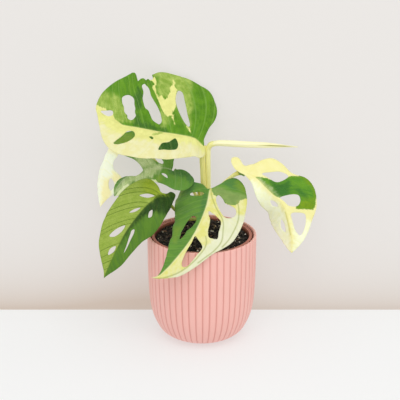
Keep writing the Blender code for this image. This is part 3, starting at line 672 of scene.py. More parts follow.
STALKS = {
    "petiole_top": ([(0.2, 33, 169), (1.4, 31, 178), (2, 30, 191), (1.4, 31, 212), (0.6, 32, 231),
                     (1.7, 33.2, 246.1)], (3.7, 3.5, 3.5, 3.9), 0.5, 0.0),
    "petiole_furled": ([(7.4, 36, 168.7), (7.9, 35.5, 189), (7.9, 35, 211), (7.8, 34.5, 233),
                        (8.4, 34, 243), (11.6, 32, 249), (17.3, 30.2, 251)],
                       (3.5, 3.55, 3.5, 3.3, 3.2), 0.1, 0.0),
    "petiole_front": ([(4.5, 28, 158), (6.5, 16, 179), (9, 2, 194), (9.7, -5, 198.1)],
                      (2.5, 2.2, 2.1), 0.1, 0.0),
    "petiole_left": ([(-0.3, 31.9, 142), (-7, 26, 149), (-18, 22, 151.1),
                      (-27.7, 23, 157.6), (-34.3, 20, 164.2), (-39.5, 7, 175.1),
                      (-43.1, -4, 183.2), (-46.1, -15.1, 191.4)], (2.4, 2.1, 1.9), 0.9, 0.3),
    "petiole_right": ([(11.4, 35, 160), (12.8, 29, 172), (16.2, 22, 185.4), (24.5, 19, 197.4),
                       (34.6, 15, 208.6), (43.3, 9.5, 216.8), (50.1, 5, 220.3), (54, 3.2, 219.1)],
                      (2.3, 2.1, 2.2, 3.1), 0.1, 0.9),
    "petiole_middle": ([(-2.8, 40.5, 158), (-3.4, 41, 174), (-4.5, 41.5, 183), (-9, 41.5, 188),
                        (-16.6, 41.5, 194.2), (-25, 39, 203.2), (-34, 33.3, 213.7)],
                       (2.4, 2.1, 1.9), 0.85, 0.3),
    "petiole_rear": ([(0.9, 43.8, 141), (-5, 50, 167), (-15, 57, 182), (-33.3, 63, 191.7),
                      (-52.9, 67, 206.3), (-67.3, 69.5, 220.6), (-86, 69, 231), (-105, 65, 235),
                      (-115, 61.7, 235)], (2.2, 1.9, 1.7), 0.2, 0.0),
}


def even_steps(path, step, closed=False):
    """Points at about even distances along a path."""
    if closed:
        path = np.vstack([path, path[:1]])
    length = np.r_[0, np.cumsum(np.linalg.norm(np.diff(path, axis=0), axis=1))]
    count = max(3, int(round(length[-1] / step)))
    at = np.linspace(0, length[-1], count + 1)
    even = np.stack([np.interp(at, length, path[:, k]) for k in range(path.shape[1])], -1)
    return even[:-1] if closed else even


def solid_mesh(name, vertices, faces, material, flat, marks):
    """Mesh in metres from millimetres, with its flat coordinates and its named marks."""
    mesh = bpy.data.meshes.new(name)
    mesh.from_pydata((np.asarray(vertices) * MM).tolist(), [], faces)
    mesh.validate()
    mesh.materials.append(material)
    mesh.polygons.foreach_set("use_smooth", np.ones(len(mesh.polygons), bool))
    corners = np.zeros(len(mesh.loops), int)
    mesh.loops.foreach_get("vertex_index", corners)
    for label, places in flat.items():
        layer = mesh.uv_layers.new(name=label)
        layer.data.foreach_set("uv", np.asarray(places, float)[corners].ravel())
    for label, values in marks.items():
        mark = mesh.attributes.new(label, "FLOAT", "POINT")
        mark.data.foreach_set("value", np.asarray(values, np.float32))
    mesh.update()
    return mesh


def tube(line, radius_at, sides, bulge=None):
    """Vertices, faces and flat places (turn, way in 100 mm) of a closed bar along the line.
    radius_at gives its radius at a way along it, and bulge the share that a turn adds."""
    way = np.r_[0, np.cumsum(np.linalg.norm(np.diff(line, axis=0), axis=1))]
    tangent = np.gradient(line, axis=0)
    tangent /= np.linalg.norm(tangent, axis=1, keepdims=True)
    side = np.cross(tangent[0], SECTION_SIDE)
    vertices = []
    flat = []
    for k, point in enumerate(line):
        side = side - side.dot(tangent[k]) * tangent[k]
        side /= np.linalg.norm(side)
        other = np.cross(tangent[k], side)
        for a in range(sides):
            turn = a / sides
            arm = radius_at(way[k])
            if bulge is not None:
                arm *= 1 + bulge(turn, way[k])
            angle = 2 * math.pi * turn
            vertices.append(point + arm * (math.cos(angle) * side + math.sin(angle) * other))
            flat.append((abs(2 * turn - 1), way[k] / 100))
    faces = []
    for k in range(len(line) - 1):
        p, q = k * sides, (k + 1) * sides
        for a in range(sides):
            b = (a + 1) % sides
            faces.append((p + a, p + b, q + b, q + a))
    first = len(vertices)
    vertices += [line[0], line[-1]]
    flat += [(0.5, 0.0), (0.5, way[-1] / 100)]
    top = (len(line) - 1) * sides
    for a in range(sides):
        b = (a + 1) % sides
        faces.append((first, b, a))
        faces.append((first + 1, top + a, top + b))
    return np.array(vertices), faces, np.array(flat)


def path_length(line):
    """Length of the line through the points."""
    return float(np.linalg.norm(np.diff(line, axis=0), axis=1).sum())


def flat_place(tree, label):
    """Field of the piece's own flat coordinates."""
    return node(tree, "ShaderNodeUVMap", uv_map=label)


def stretched(place, scale, shift=(0.0, 0.0, 0.0)):
    """Field of the place, drawn out by scale and moved by shift."""
    links = {"Vector": place, "Location": shift, "Scale": scale}
    return node(tree_of([place]), "ShaderNodeMapping", links)


def stalk_skin_material():
    """Waxy skin: cream to olive by the piece's own tone, with long streaks, faint dots and a faint
    painted glow.
    """
    made, tree, shader = new_material("stalk_skin")
    tone = mark(tree, "tone")
    streak = clouds(stretched(flat_place(tree, "skin"), (9.0, 1.6, 1.0)), 1.0, 4.0)
    dots = node(tree, "ShaderNodeTexVoronoi",
                {"Vector": object_place(tree), "Scale": DOT_SCALE}, "Distance")
    pale = blend(tone, *[linear(code) for code in STALK_COLOURS])
    green = blend(tone, *[linear(code) for code in STALK_GREENS])
    body = blend(ramp(streak, 0.45, 0.7), pale, green)
    body = blend(ramp(tone, 0.8, 1.0), body, linear(KNEE_COLOUR))
    body = blend(ramp(dots, 0.0, 0.28, 0.18, 0.0), body, linear(DOT_COLOUR))
    feed(shader, {
        "Base Color": body,
        # Painted light: a faint glow from the skin itself stands in for light through the thin
        # stalk.
        "Emission Color": body,
        "Emission Strength": STALK_GLOW,
        "Roughness": ramp(streak, 0.3, 0.7, 0.36, 0.5),
        "Normal": relief(streak, 0.4, SKIN_RELIEF)})
    return made


def vine_radius(way):
    """Radius of the vine, with a ring at each leaf scar."""
    scars = sum(math.exp(-((way - at) / SCAR_WIDTH) ** 2) for at in VINE_SCARS)
    plain = np.interp(way, np.linspace(0, vine_length, len(VINE_RADII)), VINE_RADII)
    return float(plain) + SCAR_HEIGHT * scars


stalk_skin = stalk_skin_material()
vine_line = even_steps(smooth_path(VINE, PATH_STEPS), STALK_STEP)
vine_length = path_length(vine_line)
spots, faces, flat = tube(vine_line, vine_radius, STALK_SIDES)
vine = link_object("vine", solid_mesh("vine", spots, faces, stalk_skin, {"skin": flat},
                                      {"tone": np.full(len(spots), VINE_TONE)}))
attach(vine, "root")
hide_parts("vine_stem")

for name, (path, radii, tone, knee_green) in STALKS.items():
    line = even_steps(smooth_path(path, PATH_STEPS), STALK_STEP)
    end = line[-1] - line[-2]
    line = np.vstack([line, line[-1] + end / np.linalg.norm(end) * STALK_END_REACH])
    length = path_length(line)

    def stalk_radius(way):
        """Radius of this stalk, with the swelling of its knee."""
        knee = math.exp(-((length - KNEE_LENGTH / 2 - way) / (KNEE_LENGTH / 2)) ** 2)
        plain = np.interp(way, np.linspace(0, length, len(radii)), radii)
        return float(plain) * (1 + KNEE_SWELL * knee)

    spots, faces, flat = tube(line, stalk_radius, STALK_SIDES)
    knee_start = length - KNEE_LENGTH * 1.5
    knee_tone = knee_green * np.clip((flat[:, 1] * 100 - knee_start) / KNEE_LENGTH, 0, 1)
    stalk = link_object("stalk_" + name.split("_")[1],
                        solid_mesh(name + "_skin", spots, faces, stalk_skin, {"skin": flat},
                                   {"tone": np.clip(tone + knee_tone, 0, 1)}))
    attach(stalk, "root")
    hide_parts(name)

# Top leaf
# The largest blade, with seven holes and a notch where one more has torn through to its edge.
# It is one thin living sheet: its veins are let into the upper side and stand out below, and
# the flesh between them is slightly quilted. All below its midrib has grown without green.
BLADE_THICKNESS = 0.7
EDGE_THICKNESS_SHARE = 0.35
EDGE_ROUND = 0.9
NET_STEP = 1.05
NET_CLEARANCE = 0.55
EDGE_STEP = 0.95
DOT_STEP = 0.3
MARGIN_PATH_STEPS = 12
HOLE_PATH_STEPS = 10
LINE_PATH_STEPS = 8
RIDGE_HEIGHT = 1.2
RIDGE_WIDTH = 1.3
SPINE_WIDTH = 0.35
SPINE_TAPER = 0.5
SPINE_SINK = 0.3
LEAST_TAPER = 0.15
VEIN_RIDGE = 0.28
VEIN_WIDTH = 0.8
VEIN_SINK = 0.25
VEIN_BEND = 0.004
VEIN_END_GAP = 12.0
VEIN_TRACE_TURNS = 12
VEIN_REACH = 95.0
VEIN_POINTS = 32
SLOPE_STOPS = (0.0, 0.35, 1.0)
QUILT_HEIGHT = 0.55
QUILT_WIDTH = 3.6
LINE_WIDTH = 0.75
WAVE_HEIGHT = 0.9
WAVE_LENGTH = 31.0
WAVE_FULL_WIDTH = 45.0
PATCH_REACH = 8.0
FRAME_WINDOW = 0.22
LEAF_GLOW = 0.04
PATCHES = ("green", "light", "bright", "deep", "bare", "stain", "pale")
PLAIN_GREY = (0.5, 0.5, 0.5, 1.0)
SHARP_EDGE = 0.7
SOFT_EDGE = 4.5
PAIR_STOPS = (0.36, 0.64)
CELL_SCALE = 75.0
TINGE_SHARE = 0.75
UNDERSIDE_COLOUR = "#C6D3A0"
UNDERSIDE_SHARE = 0.3
LEAF_RELIEF = 0.25
LEAF_IOR = 1.4
LEAF_GLOSS = 0.2


def closed_line(ring):
    """The ring with its first point once more at its end."""
    return np.vstack([ring, ring[:1]])


def inside(polygon, points):
    """Which of the points lie inside the polygon."""
    polygon = np.asarray(polygon, float)
    found = np.zeros(len(points), bool)
    for (x0, y0), (x1, y1) in zip(polygon, np.roll(polygon, -1, axis=0)):
        crosses = (y0 > points[:, 1]) != (y1 > points[:, 1])
        with np.errstate(divide="ignore", invalid="ignore"):
            x = x0 + (points[:, 1] - y0) / (y1 - y0) * (x1 - x0)
        found ^= crosses & (points[:, 0] < x)
    return found


def distance(points, lines):
    """Distance from each point to the nearest of the lines."""
    dots = np.vstack([even_steps(np.asarray(line, float), DOT_STEP) for line in lines])
    tree = kdtree.KDTree(len(dots))
    for k, (x, y) in enumerate(dots):
        tree.insert((x, y, 0.0), k)
    tree.balance()
    return np.array([tree.find((x, y, 0.0))[2] for x, y in points])


def patch_depth(points, patches):
    """How far each point lies inside the nearest patch, negative outside, within PATCH_REACH."""
    depth = np.full(len(points), -PATCH_REACH)
    for patch in patches:
        away = distance(points, [closed_line(patch)])
        depth = np.maximum(depth, np.where(inside(patch, points), away, -away))
    return np.clip(depth, -PATCH_REACH, PATCH_REACH)


class Blade:
    """A leaf blade: flat coordinates (along the midrib, across it) bent into space.

    rib is the midrib from the stalk to the tip. face is where the upper side looks at the
    base, middle and tip. fold is each half's tilt off that plane at the midrib and curl is
    what it gains per 100 mm outwards, both at base, middle and tip, left half first.
    """

    def __init__(self, rib, face, fold, curl, window):
        self.rib = smooth_path(rib, PATH_STEPS)
        steps = np.linalg.norm(np.diff(self.rib, axis=0), axis=1)
        self.along = np.r_[0, np.cumsum(steps)]
        self.length = self.along[-1]
        self.reach = window * self.length
        self.face = np.asarray(face, float)
        self.fold = np.radians(np.asarray(fold, float))
        self.curl = np.radians(np.asarray(curl, float)) / 100.0
        start = self.rib[3] - self.rib[0]
        end = self.rib[-1] - self.rib[-4]
        self.start = start / np.linalg.norm(start)
        self.end = end / np.linalg.norm(end)

    def centre(self, s):
        """Point of the midrib, drawn out straight past both ends."""
        held = np.clip(s, 0, self.length)
        point = np.stack([np.interp(held, self.along, self.rib[:, k]) for k in range(3)], -1)
        before = np.minimum(s, 0)[..., None] * self.start
        after = np.maximum(s - self.length, 0)[..., None] * self.end
        return point + before + after

    def blend(self, values, s):
        """Value at s between those given for the base, the middle and the tip."""
        return np.interp(s / self.length, (0.0, 0.5, 1.0), values)

    def place(self, s, t):
        """Points in space of the flat coordinates s and t."""
        forward = self.centre(s + self.reach) - self.centre(s - self.reach)
        forward /= np.linalg.norm(forward, axis=-1, keepdims=True)
        up = np.stack([self.blend(self.face[:, k], s) for k in range(3)], -1)
        up = up - (up * forward).sum(-1, keepdims=True) * forward
        up /= np.linalg.norm(up, axis=-1, keepdims=True)
        side = np.cross(forward, up)
        width = np.abs(t)
        left, right = [self.blend(fold, s) for fold in self.fold]
        tilt = np.where(t >= 0, right, left)
        left, right = [self.blend(curl, s) for curl in self.curl]
        bend = np.where(t >= 0, right, left)
        bend = np.where(np.abs(bend) < 1e-6, 1e-6, bend)
        out = (np.sin(tilt + bend * width) - np.sin(tilt)) / bend
        rise = (np.cos(tilt) - np.cos(tilt + bend * width)) / bend
        return self.centre(s) + (np.sign(t) * out)[..., None] * side + rise[..., None] * up

    def normal(self, s, t, reach=0.8):
        """Unit vectors out of the upper side."""
        along = self.place(s + reach, t) - self.place(s - reach, t)
        across = self.place(s, t + reach) - self.place(s, t - reach)
        up = np.cross(across, along)
        return up / np.linalg.norm(up, axis=-1, keepdims=True)


def leaf_outline(margin, corners, step):
    """The closed margin, smooth between the corners it keeps sharp."""
    first = margin.index(corners[0])
    ring = margin[first:] + margin[:first + 1]
    cuts = [0] + [ring.index(c) for c in corners[1:]] + [len(ring) - 1]
    pieces = []
    for a, b in zip(cuts[:-1], cuts[1:]):
        span = ring[a:b + 1]
        if len(span) > 2:
            span = smooth_path(span, MARGIN_PATH_STEPS)
        pieces.append(even_steps(np.asarray(span, float), step)[:-1])
    return np.vstack(pieces)


def leaf_net(length, margin, holes):
    """Flat triangles that fill the margin, leave the holes open and follow the midrib."""
    rib_s = np.arange(1.0, length - 1.0, NET_STEP)
    rib = np.stack([rib_s, np.zeros_like(rib_s)], -1)
    rib = rib[inside(margin, rib)]
    low, high = margin.min(axis=0), margin.max(axis=0)
    rows = []
    for row, y in enumerate(np.arange(low[1], high[1], NET_STEP * math.sqrt(0.75))):
        x = np.arange(low[0] + (row % 2) * NET_STEP / 2, high[0], NET_STEP)
        rows.append(np.stack([x, np.full_like(x, y)], -1))
    inner = np.vstack(rows)
    inner = inner[inside(margin, inner)]
    for hole in holes:
        inner = inner[~inside(hole, inner)]
    rings = [margin] + list(holes)
    to_lines = distance(inner, [closed_line(ring) for ring in rings] + [rib])
    inner = inner[to_lines > NET_STEP * NET_CLEARANCE]
    edges = []
    start = 0
    for ring in rings:
        count = len(ring)
        edges += [(start + k, start + (k + 1) % count) for k in range(count)]
        start += count
    edges += [(start + k, start + k + 1) for k in range(len(rib) - 1)]
    points = [tuple(p) for p in np.vstack(rings + [rib, inner])]
    flat, _, faces, _, _, _ = delaunay_2d_cdt(points, edges, [], 0, 1e-5)
    flat = np.array([tuple(p) for p in flat])
    faces = np.array(faces)
    middle = flat[faces].mean(axis=1)
    keep = inside(margin, middle)
    for hole in holes:
        keep &= ~inside(hole, middle)
    faces = faces[keep]
    used = np.unique(faces)
    return flat[used], np.searchsorted(used, faces)


def variegation_group():
    """Leaf colour from the marks of its patches. Where green ends against cream, the edge is
    drawn out in jagged streaks along the side veins, as the two tissues grow past each other.
    The tones of green run into each other softly."""
    inputs = []
    for label in ("Cream", "Pale", "Green", "Light", "Bright", "Deep"):
        inputs.append((label, "NodeSocketColor", PLAIN_GREY))
        inputs.append((label + " Alt", "NodeSocketColor", PLAIN_GREY))
    for label in ("Vein", "Line", "Rib"):
        inputs.append((label, "NodeSocketColor", PLAIN_GREY))
    for label, share in (("Jag", 3.0), ("Vein Share", 0.2), ("Line Share", 0.8),
                         ("Rib Share", 0.5), ("Net Share", 0.1), ("Mottle", 0.3),
                         ("Crisp Light", 0.0)):
        inputs.append((label, "NodeSocketFloat", share))
    tree, given, result = new_group("variegation", "ShaderNodeTree", inputs, [
        ("Color", "NodeSocketColor"), ("Height", "NodeSocketFloat"),
        ("Roughness", "NodeSocketFloat")])
    flat = flat_place(tree, "blade")
    flow = flat_place(tree, "flow")

    def cloud(vector, along, across, detail, shift=0.0):
        """Noise drawn out along and across the flat coordinates."""
        place = stretched(vector, (along, across, 1.0), (shift, shift * 0.7, 0.0))
        return clouds(place, 1.0, detail)

    def round_zero(value, size):
        """The value moved to lie round zero, size wide."""
        return (value - 0.5) * size

    def sharp(label):
        """Share of a patch whose edge is jagged."""
        return ramp(mark(tree, label) + jag, -SHARP_EDGE, SHARP_EDGE)

    def soft(label):
        """Share of a patch whose edge is washed out."""
        return ramp(mark(tree, label) + haze, -SOFT_EDGE, SOFT_EDGE)

    def pair(label, value):
        """Colour between the two of a label."""
        return blend(ramp(value, *PAIR_STOPS), given[label], given[label + " Alt"])

    def vein_lines(times, thin, thick):
        """Lines at every whole count of the side veins, or at even shares between them."""
        off = abs(calc("FRACT", mark(tree, "vein_count") * times + 0.5) - 0.5)
        return ramp(off / times * mark(tree, "vein_gap"), thin, thick, 1.0, 0.0)

    streak = cloud(flow, 44.0, 9.0, 4.0)
    wide_streak = cloud(flow, 19.0, 6.0, 3.0, 5.0)
    blotch = cloud(flat, 12.0, 12.0, 3.0, 9.0)
    speck = cloud(flat, 95.0, 95.0, 2.0, 3.0)
    fine = cloud(flow, 150.0, 36.0, 4.0, 7.0)
    off_rib = ramp(abs(axes(flat)[1]), 0.004, 0.07)
    jag = round_zero(streak, given["Jag"]) + round_zero(speck, 1.6) + round_zero(fine, 2.4)
    jag = jag * off_rib
    haze = round_zero(wide_streak, 11.0) + round_zero(blotch, 8.0) + round_zero(streak, 7.0)
    mottle = ramp(fine * 0.35 + speck * 0.65, 0.4, 0.62) * given["Mottle"]
    crisp = given["Crisp Light"]
    lightened = soft("light") * (1.0 - crisp) + sharp("light") * crisp

    body = blend(soft("pale"), pair("Cream", blotch), pair("Pale", blotch))
    leaf = blend(soft("deep"), pair("Green", wide_streak), pair("Deep", wide_streak))
    leaf = blend(lightened, leaf, pair("Light", blotch * 0.65 + streak * 0.35))
    leaf = blend(soft("bright"), leaf, pair("Bright", blotch))
    leaf = blend(mottle, leaf, given["Deep"])
    greened = sharp("green")
    bare = sharp("bare")
    is_green = greened * (1.0 - bare)
    colour = blend(bare, blend(greened, body, leaf), body)
    colour = blend(sharp("stain") * TINGE_SHARE, colour, pair("Light", streak))
    colour = blend(is_green * ramp(speck, 0.55, 0.75, 0.0, 0.2), colour, given["Light Alt"])

    vein_colour = blend(is_green, given["Cream Alt"], given["Vein"])
    cells = node(tree, "ShaderNodeTexVoronoi", {
        "Vector": stretched(flat, (CELL_SCALE, CELL_SCALE, 1.0)), "Scale": 1.0}, "Distance",
        feature="DISTANCE_TO_EDGE")
    vein_side = mark(tree, "vein_side")
    net = ramp(cells, 0.02, 0.16, 1.0, 0.0) * given["Net Share"]
    veins = calc("MAXIMUM", vein_lines(1.0, 0.3, 1.0), vein_lines(3.0, 0.05, 0.5) * 0.35)
    colour = blend(net * vein_side, colour, vein_colour)
    colour = blend(veins * vein_side * given["Vein Share"], colour, vein_colour)
    colour = blend(mark(tree, "line") * given["Line Share"], colour, given["Line"])
    colour = blend(mark(tree, "rib") * given["Rib Share"], colour, given["Rib"])
    colour = blend(mark(tree, "under") * UNDERSIDE_SHARE, colour, linear(UNDERSIDE_COLOUR))
    feed(result, {
        "Color": colour,
        "Height": ramp(cells, 0.0, 0.3, 0.0, 0.6) + streak * 0.5,
        "Roughness": ramp(blotch, 0.3, 0.7, 0.42, 0.56)})
    return tree


variegation = variegation_group()


def leaf_skin(name, colours, shares, glow):
    """Satin waxy leaf skin with the colours of one leaf. glow is painted light: an emission that
    stands in for the light that comes through the thin flesh from behind."""
    made, tree, shader = new_material(name)
    looks = dict(shares)
    for label, codes in colours.items():
        for suffix, code in zip(("", " Alt"), codes.split()):
            looks[label + suffix] = linear(code)
    skin = place_group(tree, variegation, looks)
    feed(shader, {
        "Base Color": skin["Color"],
        # Painted light: the blade glows faintly by itself.
        "Emission Color": skin["Color"],
        "Emission Strength": glow,
        "Roughness": skin["Roughness"],
        "Normal": relief(skin["Height"], 0.35, LEAF_RELIEF),
        "IOR": LEAF_IOR,
        "Specular IOR Level": LEAF_GLOSS})
    return made


def count_veins(root, t, veins):
    """For each point, where its root lies in the count of its half's side veins, and how far
    apart they are there."""
    count = np.zeros(len(t))
    gap = np.zeros(len(t))
    for half, starts in zip((t >= 0, t < 0), veins):
        ends = np.array([starts[0] - VEIN_END_GAP, *starts, starts[-1] + VEIN_END_GAP])
        counts = np.array([0.5, *range(1, len(starts) + 1), len(starts) + 0.5])
        count[half] = np.interp(root[half], ends, counts)
        span = np.clip(np.searchsorted(ends, root[half]) - 1, 0, len(ends) - 2)
        gap[half] = (np.diff(ends) / np.diff(counts))[span]
    return count, gap


def shell_faces(faces, count):
    """Faces of a closed shell, whose underside repeats the count points of its upper side."""
    upper = [(int(a), int(c), int(b)) for a, b, c in faces]
    lower = [(a + count, b + count, c + count) for a, c, b in upper]
    sides = {(face[k], face[(k + 1) % 3]) for face in upper for k in range(3)}
    walls = [(b, a, a + count, b + count) for a, b in sorted(sides) if (b, a) not in sides]
    return upper + lower + walls


def make_blade(name, rib, face, fold, curl, margin, corners, holes, veins, slope, colours,
               shares, patches, lines=(), window=FRAME_WINDOW, vein_sides=(1.0, 1.0),
               wave=WAVE_HEIGHT, wave_start=0.0, bend=VEIN_BEND, glow=LEAF_GLOW):
    """One leaf blade as a closed shell, with its veins, patches and material."""
    blade = Blade(rib, face, fold, curl, window)
    outline = leaf_outline(margin, corners, EDGE_STEP)
    rings = [even_steps(smooth_path(hole, HOLE_PATH_STEPS, closed=True), EDGE_STEP, closed=True)
             for hole in holes]
    flat, faces = leaf_net(blade.length, outline, rings)
    s, t = flat[:, 0], flat[:, 1]
    width = np.abs(t)

    def sweep(at, out):
        """How far a side vein that starts there has run towards the tip, out across it."""
        return np.interp(at / blade.length, SLOPE_STOPS, slope) * out + bend * out ** 2

    run = np.linspace(0.0, VEIN_REACH, VEIN_POINTS)
    courses = []
    for side, starts in zip((1.0, -1.0), veins):
        courses += [np.stack([start + sweep(start, run), side * run], -1) for start in starts]
    root = s - sweep(s, width)
    for _ in range(VEIN_TRACE_TURNS):
        root = (root + s - sweep(root, width)) / 2
    to_vein = distance(flat, courses)
    to_edge = distance(flat, [closed_line(ring) for ring in [outline] + rings])

    taper = np.clip(1.0 - s / blade.length, LEAST_TAPER, 1.0)
    vein = np.exp(-(to_vein / VEIN_WIDTH) ** 2)
    spine = np.exp(-(t / (SPINE_WIDTH + SPINE_TAPER * taper)) ** 2)
    quilt = QUILT_HEIGHT * (1 - np.exp(-(np.minimum(to_vein, width) / QUILT_WIDTH) ** 2))
    waves = wave * np.sin(2 * math.pi * s / WAVE_LENGTH + wave_start) * (
        np.minimum(width / WAVE_FULL_WIDTH, 1.0) ** 2)
    rise = quilt - VEIN_SINK * vein - SPINE_SINK * spine + waves
    fade = 1 - (1 - EDGE_THICKNESS_SHARE) * np.exp(-(to_edge / EDGE_ROUND) ** 2)
    half = BLADE_THICKNESS / 2 * fade
    ridge = (RIDGE_HEIGHT * taper * np.exp(-(t / RIDGE_WIDTH) ** 2) + VEIN_RIDGE * vein) * fade
    centre = blade.place(s, t)
    up = blade.normal(s, t)
    spots = np.vstack([centre + up * (half + rise)[:, None],
                       centre + up * (rise - half - ridge)[:, None]])

    vein_count, vein_gap = count_veins(root, t, veins)
    marks = {"vein_count": vein_count, "vein_gap": vein_gap,
             "vein_side": np.where(t < 0, *vein_sides[::-1]), "rib": spine * (s > 0),
             "line": np.zeros(len(s))}
    if lines:
        drawn = [smooth_path(line, LINE_PATH_STEPS) for line in lines]
        marks["line"] = np.exp(-(distance(flat, drawn) / LINE_WIDTH) ** 2)
    for label in PATCHES:
        marks[label] = patch_depth(flat, patches.get(label, ()))
    marks = {label: np.tile(values, 2) for label, values in marks.items()}
    marks["under"] = np.repeat((0.0, 1.0), len(s))
    laid = {"blade": np.tile(flat, (2, 1)) / 100,
            "flow": np.tile(np.stack([root, t], -1), (2, 1)) / 100}
    skin = leaf_skin(name + "_skin", colours, shares, glow)
    made = link_object(name + "_blade", solid_mesh(
        name + "_blade", spots, shell_faces(faces, len(s)), skin, laid, marks))
    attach(made, "root")
    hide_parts(name)


make_blade(
    "leaf_top",
    rib=[(1, 30, 249), (-9, 27, 259), (-28, 20, 266), (-53, 10, 273), (-77, 0, 281),
         (-101, -7, 288), (-118, -10, 297), (-129, -8, 306)],
    face=[(0.1, -0.85, 0.55), (0.0, -0.85, 0.5), (-0.15, -0.85, 0.5)],
    fold=[(30, 35, 20), (0, 0, 10)],
    curl=[(-30, -40, -20), (-25, -30, -30)],
    window=0.4,
    margin=[(-2, 1), (1, 7), (1, 15), (0, 24), (-3, 35), (-4, 42), (-3.5, 50), (0, 58),
            (10, 67.5), (20, 73), (30, 77), (40, 80), (50, 83), (58, 84.5), (66, 83), (74, 79.5),
            (81, 75.5), (79, 70), (84, 67), (92, 66.5), (98, 63.5), (104, 65), (109, 64),
            (113.5, 59.5), (117, 63), (121, 66), (127, 67.5), (132, 66), (138, 59), (145, 50),
            (151, 41), (155, 32), (158, 20), (157, 8), (154, 0), (149, -5), (143, -12), (138, -19),
            (133, -27), (126, -35), (118, -40), (108, -43.5), (96, -45.2), (80, -45), (64, -43.5),
            (47, -40.5), (30, -36), (16, -30.5), (3, -24), (-5, -14), (-5, -5)],
    corners=[(81, 75.5), (113.5, 59.5)],
    holes=[[(46, 59), (42, 57), (38, 45), (32, 28), (26, 14), (27, 12), (33, 16), (41, 26),
            (46, 36), (48.5, 47)],
           [(66, 9), (63, 13.5), (65, 21.5), (70, 31), (77, 40.5), (80.5, 45), (84, 51.5),
            (88, 55.5), (94, 56), (100, 57.5), (104, 54.5), (98.5, 46), (97.5, 38), (94, 32),
            (90, 26.5), (84, 23.8), (80, 18.5), (76, 13), (71, 10.3)],
           [(101, 14), (103.5, 18.5), (104.5, 23), (107.5, 28), (110.5, 34.5), (114.5, 37.5),
            (121, 38), (127, 35.5), (130, 31.5), (127, 26), (122, 21.5), (118, 15.5),
            (113, 12.5), (111, 9), (105, 7.8)],
           [(131.5, 7), (133, 10.5), (136, 10.5), (141, 7), (147, 1.5), (141, 1.5), (135, 3)],
           [(43, -8.5), (47, -11), (53, -16), (62, -19), (66, -24), (69, -31), (61, -29),
            (52, -28), (43, -26), (40, -22), (39.5, -16)],
           [(80, -13), (77, -11.5), (74, -13.5), (77, -16)],
           [(98, -10), (101, -7.5), (107, -9), (112, -17), (117, -25), (119, -30), (115, -30),
            (106, -25), (100, -19), (97.5, -14)]],
    veins=((2, 10, 19, 48, 56, 84, 92, 112, 124, 136), (6, 18, 30, 66, 84, 90, 112, 122, 134)),
    slope=(-0.25, 0.35, 0.75),
    colours={"Cream": "#E6E692 #DCDC88", "Pale": "#E2DEA2 #E6E4B6", "Green": "#66981C #50861A",
             "Light": "#88A83C #B0C662", "Bright": "#5E9210 #4C800C", "Deep": "#3C6E1A #346220",
             "Vein": "#8DB45A", "Rib": "#C8D48A"},
    shares={"Jag": 4.5, "Vein Share": 0.3, "Rib Share": 0.25, "Net Share": 0.1, "Mottle": 0.28},
    patches={
        "green": [[(-12, -0.3), (160, -0.3), (172, 6), (170, 40), (150, 75), (60, 100),
                   (-25, 70), (-20, 20)]],
        "pale": [[(-10, -12), (30, -12), (60, -20), (100, -20), (140, -10), (150, -60),
                  (-20, -60)]],
        "light": [[(31, 80), (31, 60), (28.5, 50), (26.5, 38), (29, 34), (26, 20), (25, 11),
                   (30, 13), (48, 34), (50, 60), (53, 62), (57, 46), (64, 44), (69, 48),
                   (72, 55), (74, 60), (73, 70), (80, 77), (72, 86), (55, 92), (38, 88)],
                  [(103, 6), (112, 4), (130, 0), (152, 0), (162, 4), (160, 20), (150, 26),
                   (140, 29), (131, 30), (128, 26), (120, 18), (112, 9)],
                  [(52, 20), (56, 9), (62, 7), (63, 14), (66, 24), (67, 31), (60, 25)]],
        "bright": [[(6, 14), (-8, 20), (-10, 45), (-4, 62), (12, 74), (31, 82), (30, 60),
                    (26, 50), (24, 36), (26, 24), (20, 14), (12, 22)],
                   [(31, 8), (40, 18), (46, 27), (49, 33), (51, 26), (48, 15), (43, 5)],
                   [(77, 58), (84, 62), (96, 60), (108, 60), (113, 56), (114, 64), (104, 68),
                    (84, 68), (76, 73), (70, 74), (71, 66), (77, 64)],
                   [(82, 12), (90, 12), (95, 20), (90, 26), (84, 22)]],
        "deep": [[(50, 0), (54, 3), (64, 8), (72, 6), (82, 7), (92, 8), (100, 6), (99, 0)],
                 [(91, 2), (92, 14), (97, 22), (95, 30), (97, 42), (102, 51), (110, 52),
                  (111, 38), (106, 28), (102, 16), (100, 0)]],
        "bare": [[(52, 75), (50, 66), (47, 60), (48.5, 50), (48, 40), (47.5, 34), (50, 30),
                  (51, 24), (57, 20.5), (61, 25), (66, 31), (70, 40), (74, 47), (80, 56),
                  (77, 62), (80, 66), (86, 66.5), (80, 71), (76.5, 73), (73, 66), (75, 58),
                  (72, 49), (69, 45), (66, 48), (62, 42), (58, 48), (55, 56), (56, 61), (53, 66)],
                 [(46, 12), (50, 19), (51.5, 25), (49, 25), (47.5, 18), (45, 11)],
                 [(21, 3.5), (25, 6), (30, 12), (27, 12), (23, 7)],
                 [(164, -2), (158, 4), (150, 6), (143, 8), (138, 7), (133, 10), (129.5, 6),
                  (125, 3), (116, 0.3), (114, -2)]],
        "stain": [[(58, -0.5), (64, -1), (72, -5), (76, -9.5), (70, -8.5), (62, -4)]],
    },
)

